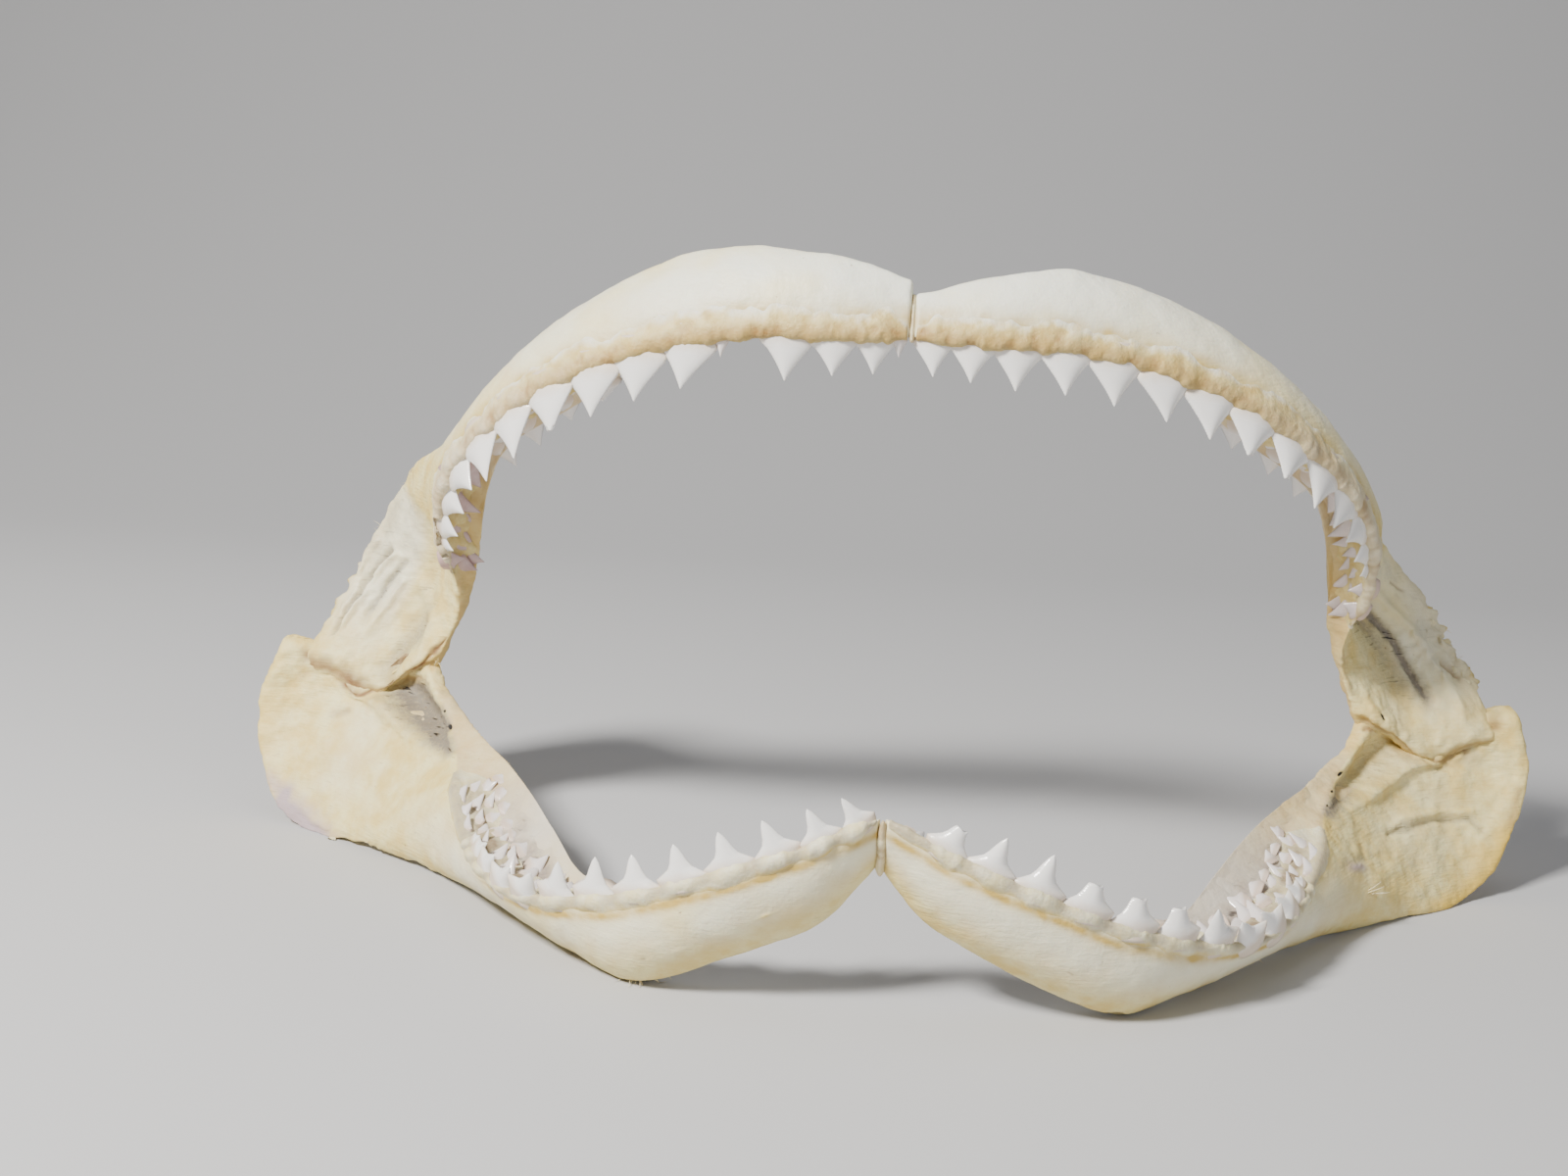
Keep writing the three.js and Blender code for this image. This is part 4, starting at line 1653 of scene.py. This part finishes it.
    def build(self, planters: dict[int, Planter], enamel: bpy.types.Material) -> list[bpy.types.Object]:
        """The teeth as meshes.

        Args:
            planters: the trees that plant them, by how many shapes each takes.
            enamel: their material.

        Returns:
            The working teeth and the new teeth.
        """
        half = self.skin.half
        crowns = (BROAD, BROAD_WORN, BUD) if half.upper else (NARROW, NARROW_WORN, SPIKE)
        shapes = [crown.build(f"crown_{k}", self.lingual()) for k, crown in enumerate(crowns)]
        inputs = {"Size": 1.0, "Jitter": 0.015, "Seed": half.seed, "Material": enamel}
        teeth = planters[2].plant(f"teeth_{half.name}", self.working_row(), shapes[:2], inputs)
        inputs = {"Size": 1.0, "Jitter": 0.09, "Seed": half.seed + 1, "Material": enamel}
        new = planters[1].plant(f"new_teeth_{half.name}", self.new_rows(), shapes[2:], inputs)
        for shape in shapes:
            bpy.data.objects.remove(shape)
        return [teeth, new]


@dataclass(frozen=True)
class GumBand:
    """The dried gum along a half jaw's rim, which wraps the feet of the teeth."""

    skin: Skin
    over_face: float  # how far it reaches over the outer face
    over_shelf: float
    thickness: float
    fringe: float  # how far it hangs between the teeth
    end: float  # t at which it ends
    lobes: float  # how much it swells under each tooth
    lumpy: float
    slope: float  # how quickly it thins over the face
    # how strongly it darkens near the crowns and in its hollows, the latter as painted shade
    shade: float = 1.0
    depth: float = 0.8  # how deep its underside lies in the skin
    fading: float = 0.5  # where on the face its colour begins to change
    columns: int = 470
    across: int = 58

    def scallop(self, distance: Array) -> Array:
        """How near each place lies to a gap between two teeth.

        Args:
            distance: millimetres along the rim.

        Returns:
            0 at the middle of a tooth and 1 between teeth.
        """
        row = self.skin.half.teeth
        between = np.ones_like(distance)
        for place in range(1, row.count + 1):
            if row.worn.get(place, 1.0) == 0:
                continue
            off = np.abs(distance - row.centre_at(place)) / row.width_at(place)
            between = np.minimum(between, np.where(off < 0.5, ease((off - 0.12) / 0.36), 1.0))
        return between

    def build(self, finish: bpy.types.Material) -> bpy.types.Object:
        """The band as a closed mesh.

        Args:
            finish: its material.

        Returns:
            The band.
        """
        half = self.skin.half
        shares, run = half.rim_length()
        t = np.linspace(0.004, self.end, self.columns)
        distance = np.interp(t, shares, run)
        between = self.scallop(distance)[:, None]
        s = np.linspace(-1, 1, self.across)[None]
        along = np.stack([distance, distance * 0, distance * 0], -1)
        wave = Noise(6, half.seed + 7, 3)(along)[:, None]
        taper = (ease((self.end - t) / 0.06) * (0.35 + 0.65 * ease(t / 0.025)))[:, None]
        narrow = 0.35 + 0.65 * taper
        swell = 1 + self.lobes * (0.5 - between)
        outer = self.over_face * (1 + 0.7 * self.lumpy * wave) * narrow * (0.88 + 0.12 * swell)
        inner = self.over_shelf * (1 + 0.12 * wave) * narrow
        reach = np.where(s > 0, s * outer, s * inner)
        point, normal, _, _ = self.skin.at(t[:, None], reach)
        lumps = Noise(3.4, half.seed + 8, 3)(point)
        corner = window(t, 0.34, 0.7, 0.08)[:, None] * (not half.upper)
        over_shelf = np.sqrt(np.clip(1 - np.abs(s) ** 5, 0, 1))
        body = np.where(s > 0, Ramp(1, -0.95)(s) ** self.slope, over_shelf)
        height = self.thickness * body * taper * swell * (1 + self.lumpy * lumps) * (1 - 0.4 * corner)
        height = height - 0.14 * Ramp(0.55, 0.45)(np.abs(s))
        height = height - Hump(-3.0, 2.2, 0.5)(reach) * (1 - between) * self.thickness
        spread = half.frames(t)["spread"][:, None]
        lower = self.fringe * (0.3 + 0.75 * between) * Hump(-0.6, 2.6)(reach) * taper
        lower = lower * (1 + 0.3 * lumps)
        top = point + normal * height[..., None] - spread * lower[..., None]
        under = point - normal * self.depth
        points, faces = joined(half.placed(np.concatenate([top, under[:, ::-1]], 1)))
        # Darker near the feet of the crowns; painted shade in the hollows between lumps, in the grooves
        # between lobes and among the new teeth at the corner of the mouth.
        dark = self.shade * (Hump(1.6, 2.4)(reach) * 0.55 + 0.4 * np.clip(-lumps, 0, 1))
        dark = dark + (0.8 + 0.4 * lumps) * corner * Hump(-7, 4.5)(reach)
        dark = dark + self.lobes * between * Hump(0.5, 2.5)(reach) * 0.5
        fade = ease((s - self.fading + 0.15 * lumps) / (1 - self.fading))
        if half.upper:
            paler = (0.42 + 0.2 * lumps) * Ramp(0.3, 0.3)(t)[:, None] * Ramp(-0.35, 0.35)(s)
            fade = np.maximum(fade, paler)
        masks = {"shade": np.clip(dark, 0, 1), "fade": fade}
        masks = {key: np.concatenate([m, m[:, ::-1]], 1).ravel() for key, m in masks.items()}
        made = make_object(f"gum_{half.name}", points, faces, masks)
        made.data.materials.append(finish)
        return made


UPPER_BAND = partial(
    GumBand,
    over_face=8.8,
    over_shelf=13.5,
    thickness=1.6,
    fringe=0.7,
    end=0.78,
    lobes=0.25,
    lumpy=0.3,
    slope=1.25,
)
LOWER_BAND = partial(
    GumBand,
    over_face=4.3,
    over_shelf=12.0,
    thickness=1.5,
    fringe=0.4,
    end=0.71,
    lobes=1.0,
    lumpy=0.2,
    slope=0.8,
    shade=0.2,
)


@dataclass(frozen=True)
class JointCapsule:
    """The dried ligament between an upper and a lower jaw, behind the corner of the mouth."""

    upper: Skin
    lower: Skin
    size: float = 0.72  # width as a share of the jaws'
    waist: float = 0.05  # how much narrower it is halfway
    setback: float = 1.5
    flat_back: float = 0.4  # share by which its back is pressed flat
    fibre: float = 0.5  # height of its fibres
    sections: int = 22
    inset: int = 14  # how many sections before the jaws' ends it starts

    def build(self, finish: bpy.types.Material) -> bpy.types.Object:
        """The capsule as a closed mesh.

        Args:
            finish: its material.

        Returns:
            The capsule.
        """
        half = self.upper.half
        top, bottom = self.upper.points[-self.inset], self.lower.points[-self.inset]
        share = np.linspace(0, 1, self.sections)[:, None, None]
        rings = top * (1 - share) + bottom * share
        middle = rings.mean(1, keepdims=True)
        rings = middle + (rings - middle) * (self.size - self.waist * arch(share))
        rings[..., 1] += self.setback
        behind = np.maximum(rings[..., 1] - middle[..., 1] - self.setback, 0)
        rings[..., 1] -= self.flat_back * behind
        outward = unit(rings - middle)
        fibres = Noise(2.2, half.seed + 9, 3, (1.0, 1.0, 3.5))(rings)
        rings = rings + outward * (self.fibre * fibres)[..., None]
        points, faces = joined(half.placed(rings))
        shade = np.clip(0.55 + 0.4 * fibres, 0, 1).ravel()
        made = make_object(f"joint_capsule_{half.side.word}_ligament", points, faces, {"shade": shade})
        made.data.materials.append(finish)
        return made


@dataclass(frozen=True)
class Symphysis:
    """The seam of dried ligament between the two halves of a jaw at the front."""

    skin: Skin
    half_width: float
    size: float  # width of its middle as a share of the jaw's
    lip: float  # how far it stands out under the front edge
    narrowing: float = 0.28  # towards its two faces
    lump: float = 0.28
    sections: int = 14

    def build(self, finish: bpy.types.Material) -> bpy.types.Object:
        """The seam as a closed mesh.

        Args:
            finish: its material.

        Returns:
            The seam.
        """
        half = self.skin.half
        first = len(Skin.END_SHARES) + 2
        ring = self.skin.points[first]
        middle = ring.mean(0)
        x = np.linspace(-1, 1, self.sections)[:, None]
        swell = self.size * (1 - self.narrowing * np.abs(x) ** 2)
        rings = middle + (ring[None] - middle) * swell[..., None]
        rings[..., 0] = x * self.half_width
        index = np.arange(AROUND)
        near = np.minimum(index, AROUND - index) * self.skin.spacing()[first]
        spread = half.frames(np.array([0.0]))["spread"][0]
        rise = self.lip * Hump(1.0, 3.2)(near[None]) * np.sqrt(np.clip(1 - x**2, 0, 1))
        lumps = Noise(1.8, half.seed + 10, 2)(rings * np.array([0.6, 1, 1]))
        outward = unit(rings - middle)
        rings = rings + outward * (self.lump * lumps)[..., None] - spread * rise[..., None]
        points, faces = joined(half.placed(rings))
        # painted shade: darker in the seam's hollows
        shade = np.clip(0.25 - 0.5 * lumps, 0, 1).ravel()
        made = make_object(f"{half.jaw.value}_symphysis_ligament", points, faces, {"shade": shade})
        made.data.materials.append(finish)
        return made


class Tuft(NamedTuple):
    """A tuft of scraps and where it grows."""

    t: float
    share: float  # its place round the section
    count: int
    length: float
    flaky: int = 0  # 1 for flakes and 0 for fibres


@dataclass(frozen=True)
class TornScraps:
    """Loose fibres and curled flakes of dried tissue at torn edges."""

    skin: Skin
    tufts: tuple[Tuft, ...]
    stray: tuple[float, float] = (0.008, 0.8)  # along the jaw as a share of it, and round it
    uneven: float = 0.25  # how much their lengths differ
    sunk: float = 0.4  # how deep their feet stand in the skin
    lowest: float = 0.2  # least height above the floor

    def spots(self) -> Spots:
        """Scatters the scraps round the middle of each tuft.

        Returns:
            A spot for each scrap.
        """
        half, skin = self.skin.half, self.skin
        spots = Spots(half)
        draw = np.random.default_rng(half.seed + 200)
        for t, share, count, length, flaky in self.tufts:
            for _ in range(count):
                jog = draw.normal(0, 1, 6)
                where = np.array([min(t + self.stray[0] * jog[0], 0.999)])
                row = min(int(np.searchsorted(skin.t, where[0])), len(skin.t) - 1)
                place = int(np.argmin(np.abs(skin.places[row] - share)))
                reach = place * np.interp(where, skin.t, skin.spacing()) + self.stray[1] * jog[1]
                point, normal, along, around = (v[0] for v in skin.at(where, reach))
                axis = normal * (0.35 if flaky else 1.0) + 0.55 * jog[2] * along
                axis = axis + (0.35 * jog[3] + flaky) * around
                size = length * math.exp(self.uneven * jog[4])
                spots.add(point - normal * self.sunk, along, axis, (size, size, size), flaky)
        return spots

    @staticmethod
    def _fibre() -> bpy.types.Object:
        """Makes a thin, bent, tapering fibre.

        Returns:
            The fibre, of unit length.
        """
        turn = (np.arange(5) * 2 * math.pi / 5)[None]
        z = np.linspace(0, 1, 7)[:, None]
        thick = 0.045 * (1 - 0.75 * z)
        x, y = thick * np.cos(turn) + 0.3 * z**2, thick * np.sin(turn)
        points, faces = joined(np.stack(np.broadcast_arrays(x, y, z), -1))
        return make_object("fibre", points, faces, {"shade": np.zeros(len(points))})

    @staticmethod
    def _flake() -> bpy.types.Object:
        """Makes a thin curled flake.

        Returns:
            The flake, of unit length.
        """
        turn = (np.arange(8) * math.pi / 4)[None]
        z = np.linspace(0, 1, 6)[:, None]
        half_width = np.array([0.75, 0.85, 0.66, 0.72, 0.5, 0.3])[:, None]
        x = half_width * np.cos(turn) + 0.1 * np.sin(9 * z)
        y = 0.13 * (1 - 0.4 * z) * np.sin(turn) + 0.12 * z**2
        points, faces = joined(np.stack(np.broadcast_arrays(x, y, z), -1))
        return make_object("flake", points, faces, {"shade": np.zeros(len(points))})

    def build(self, planter: Planter, finish: bpy.types.Material) -> bpy.types.Object:
        """The scraps as one piece.

        Args:
            planter: the tree that plants two shapes.
            finish: their material.

        Returns:
            The scraps.
        """
        shapes = [self._fibre(), self._flake()]
        half = self.skin.half
        inputs = {"Size": 1.0, "Jitter": 0.25, "Seed": half.seed + 2, "Material": finish}
        made = planter.plant(f"fibres_{half.name}", self.spots(), shapes, inputs)
        for shape in shapes:
            bpy.data.objects.remove(shape)
        for vertex in made.data.vertices:
            vertex.co.z = max(vertex.co.z, self.lowest * METRES)
        return made


@dataclass(frozen=True)
class Studio:
    """A plain pale floor that curves up behind, soft lights and the camera."""

    floor_half: float = 2.2
    wall_height: float = 2.4
    wall_start: float = 0.55
    curve: float = 0.9
    position: Triple = (0.0, -0.5633, 0.2112)
    look_down: float = math.radians(11.5)
    look_aside: float = math.atan(115 / 2000)
    roll: float = math.radians(3.4)
    lens: float = 45.0
    aim: Triple = (0.0, 0.0, 0.1)  # what the lights point at
    lights: tuple[tuple[str, Triple, float, float, Colour], ...] = (  # name, place, size, watts, colour
        ("key", (-0.7, -0.7, 1.0), 0.26, 43.0, (1.0, 0.975, 0.93)),
        ("fill", (0.9, -0.9, 0.6), 0.9, 5.0, (0.93, 0.96, 1.0)),
        ("top", (0.2, 0.35, 1.3), 0.9, 3.2, (1.0, 1.0, 1.0)),
    )
    glow: Colour = (0.9, 0.92, 0.95)
    glow_strength: float = 0.10

    def build(self) -> None:
        """The floor, the lights, the world and the camera."""
        self._floor()
        for light in self.lights:
            self._light(*light)
        world = bpy.data.worlds.new("studio")
        world.use_nodes = True
        backdrop = world.node_tree.nodes["Background"]
        backdrop.inputs["Color"].default_value = (*self.glow, 1.0)
        backdrop.inputs["Strength"].default_value = self.glow_strength
        bpy.context.scene.world = world
        self._camera()

    def _floor(self) -> bpy.types.Object:
        """Makes the floor and the wall that it curves into.

        Returns:
            The two as one mesh.
        """
        bend = np.linspace(0, math.pi / 2, 25)
        y = self.wall_start + self.curve * np.sin(bend)
        z = self.curve * (1 - np.cos(bend))
        profile = [(-self.floor_half, 0.0), *zip(y, z), (y[-1], self.wall_height)]
        points = [(x, a, b) for x in (-self.floor_half, self.floor_half) for a, b in profile]
        n = len(profile)
        faces = [(k, k + n, k + n + 1, k + 1) for k in range(n - 1)]
        floor = make_object("floor", np.array(points), faces)
        floor.data.materials.append(plain_finish("pale_paper", (0.5, 0.5, 0.51), 0.75))
        return floor

    def _light(self, name: str, place: Triple, size: float, power: float, colour: Colour) -> None:
        """Adds a soft square light aimed at the jaws.

        Args:
            name: its name.
            place: where it hangs.
            size: length of its sides.
            power: its watts.
            colour: its colour.
        """
        data = bpy.data.lights.new(name, "AREA")
        data.shape, data.size, data.energy, data.color = "SQUARE", size, power, colour
        light = bpy.data.objects.new(name, data)
        light.location = place
        aim = Vector(self.aim) - Vector(place)
        light.rotation_euler = aim.to_track_quat("-Z", "Y").to_euler()
        bpy.context.scene.collection.objects.link(light)

    def _camera(self) -> None:
        """Adds the camera, a little above the jaws and turned slightly to the side."""
        down, aside, roll = self.look_down, self.look_aside, self.roll
        level = Vector((0, math.cos(down), -math.sin(down)))
        right = math.cos(aside) * Vector((1, 0, 0)) + math.sin(aside) * level
        ahead = math.cos(aside) * level - math.sin(aside) * Vector((1, 0, 0))
        up = Vector((0, math.sin(down), math.cos(down)))
        side = math.cos(roll) * right + math.sin(roll) * up
        head = math.cos(roll) * up - math.sin(roll) * right
        data = bpy.data.cameras.new("camera")
        data.sensor_width, data.lens, data.clip_start = 36.0, self.lens, 0.01
        data.sensor_fit = "HORIZONTAL"
        camera = bpy.data.objects.new("camera", data)
        turn = Matrix((side, head, -ahead)).transposed().to_4x4()
        camera.matrix_world = Matrix.Translation(self.position) @ turn
        bpy.context.scene.collection.objects.link(camera)
        bpy.context.scene.camera = camera


CARTILAGE = CartilageFinish()
ENAMEL = EnamelFinish()
UPPER_GUM = TissueFinish("upper_gum", (0.78, 0.65, 0.30), (0.65, 0.48, 0.155), (0.36, 0.2, 0.05))
LOWER_GUM = TissueFinish(
    "lower_gum", (0.85, 0.80, 0.58), (0.80, 0.71, 0.40), (0.27, 0.20, 0.12), margin=(0.66, 0.49, 0.15)
)
CAPSULE = TissueFinish("joint_ligament", (0.52, 0.38, 0.2), (0.3, 0.18, 0.08), (0.11, 0.06, 0.03), 0.0006)
SEAM = TissueFinish(
    "seam_ligament", (0.82, 0.75, 0.5), (0.74, 0.62, 0.36), (0.4, 0.26, 0.1), 0.0006, (0.6, 0.6, 4.0)
)
SCRAP = TissueFinish("torn_scraps", (0.86, 0.78, 0.52), (0.80, 0.66, 0.36), (0.5, 0.36, 0.16), 0.0006)
SEAMS = {Jaw.UPPER: (1.0, 0.93, 2.0), Jaw.LOWER: (1.2, 0.85, 2.6)}  # half-width, size and lip
TUFTS = {
    (Jaw.LOWER, Side.RIGHT): (
        Tuft(0.24, 1.4, 16, 4.0),
        Tuft(0.25, 1.0, 8, 3.0),
        Tuft(0.62, 1.3, 5, 2.5),
        Tuft(0.66, 1.2, 4, 1.4, flaky=1),
        Tuft(0.69, 0.97, 3, 1.4, flaky=1),
    ),
    (Jaw.LOWER, Side.LEFT): (
        Tuft(0.655, 0.55, 4, 4.0),
        Tuft(0.62, 1.2, 4, 2.5),
        Tuft(0.44, 0.9, 3, 2.5),
    ),
    (Jaw.UPPER, Side.RIGHT): (
        Tuft(0.83, 1.2, 3, 2.5),
        Tuft(0.99, 0.02, 6, 2.0),
        Tuft(0.74, 1.2, 3, 2.0),
        Tuft(0.9, 0.82, 3, 1.4, flaky=1),
        Tuft(0.985, 0.04, 4, 1.1, flaky=1),
    ),
    (Jaw.UPPER, Side.LEFT): (
        Tuft(0.9, 1.3, 5, 2.5),
        Tuft(0.93, 1.2, 5, 2.5),
        Tuft(0.64, 1.3, 3, 2.0),
        Tuft(0.89, 0.93, 3, 1.5, flaky=1),
        Tuft(0.91, 0.98, 4, 1.7, flaky=1),
        Tuft(0.93, 0.92, 3, 1.5, flaky=1),
    ),
}


def hand_over(piece: bpy.types.Object, slot: str, *nodes: str) -> None:
    """Fixes a piece to the frame and reports it.

    Args:
        piece: the object.
        slot: not used.
        nodes: the solid parts that it stands for.
    """
    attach(piece, "root")
    if nodes:
        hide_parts(*nodes)
    LOG.info("%s: %d faces", piece.name, len(piece.data.polygons))


def main() -> None:
    """Builds the jaws piece by piece, then the studio."""
    logging.basicConfig(level=logging.INFO, format="%(name)s %(message)s")
    cartilage, enamel = CARTILAGE.build(), ENAMEL.build()
    tissues = (UPPER_GUM, LOWER_GUM, CAPSULE, SEAM, SCRAP)
    upper_gum, lower_gum, capsule, seam, scrap = (finish.build() for finish in tissues)
    planters = {count: Planter(count) for count in (1, 2)}
    skins = {}
    for half in (UPPER_LEFT, UPPER_RIGHT, LOWER_LEFT, LOWER_RIGHT):
        skin = Skin(half)
        skins[half.jaw, half.side] = skin
        piece = skin.build()
        piece.data.materials.append(cartilage)
        hand_over(piece, "cartilage", f"{half.jaw.value}_jaw_{half.side.word}")
        for teeth in Dentition(skin).build(planters, enamel):
            hand_over(teeth, "teeth")
        band, gum = (UPPER_BAND, upper_gum) if half.upper else (LOWER_BAND, lower_gum)
        hand_over(band(skin).build(gum), "gum")
    for side in Side:
        made = JointCapsule(skins[Jaw.UPPER, side], skins[Jaw.LOWER, side]).build(capsule)
        hand_over(made, "ligament", f"joint_capsule_{side.word}")
    for jaw, sizes in SEAMS.items():
        made = Symphysis(skins[jaw, Side.LEFT], *sizes).build(seam)
        hand_over(made, "ligament", f"{jaw.value}_symphysis")
    for key, tufts in TUFTS.items():
        made = TornScraps(skins[key], tufts).build(planters[2], scrap)
        hand_over(made, "cartilage")
    Studio().build()


if __name__ == "__main__":
    main()
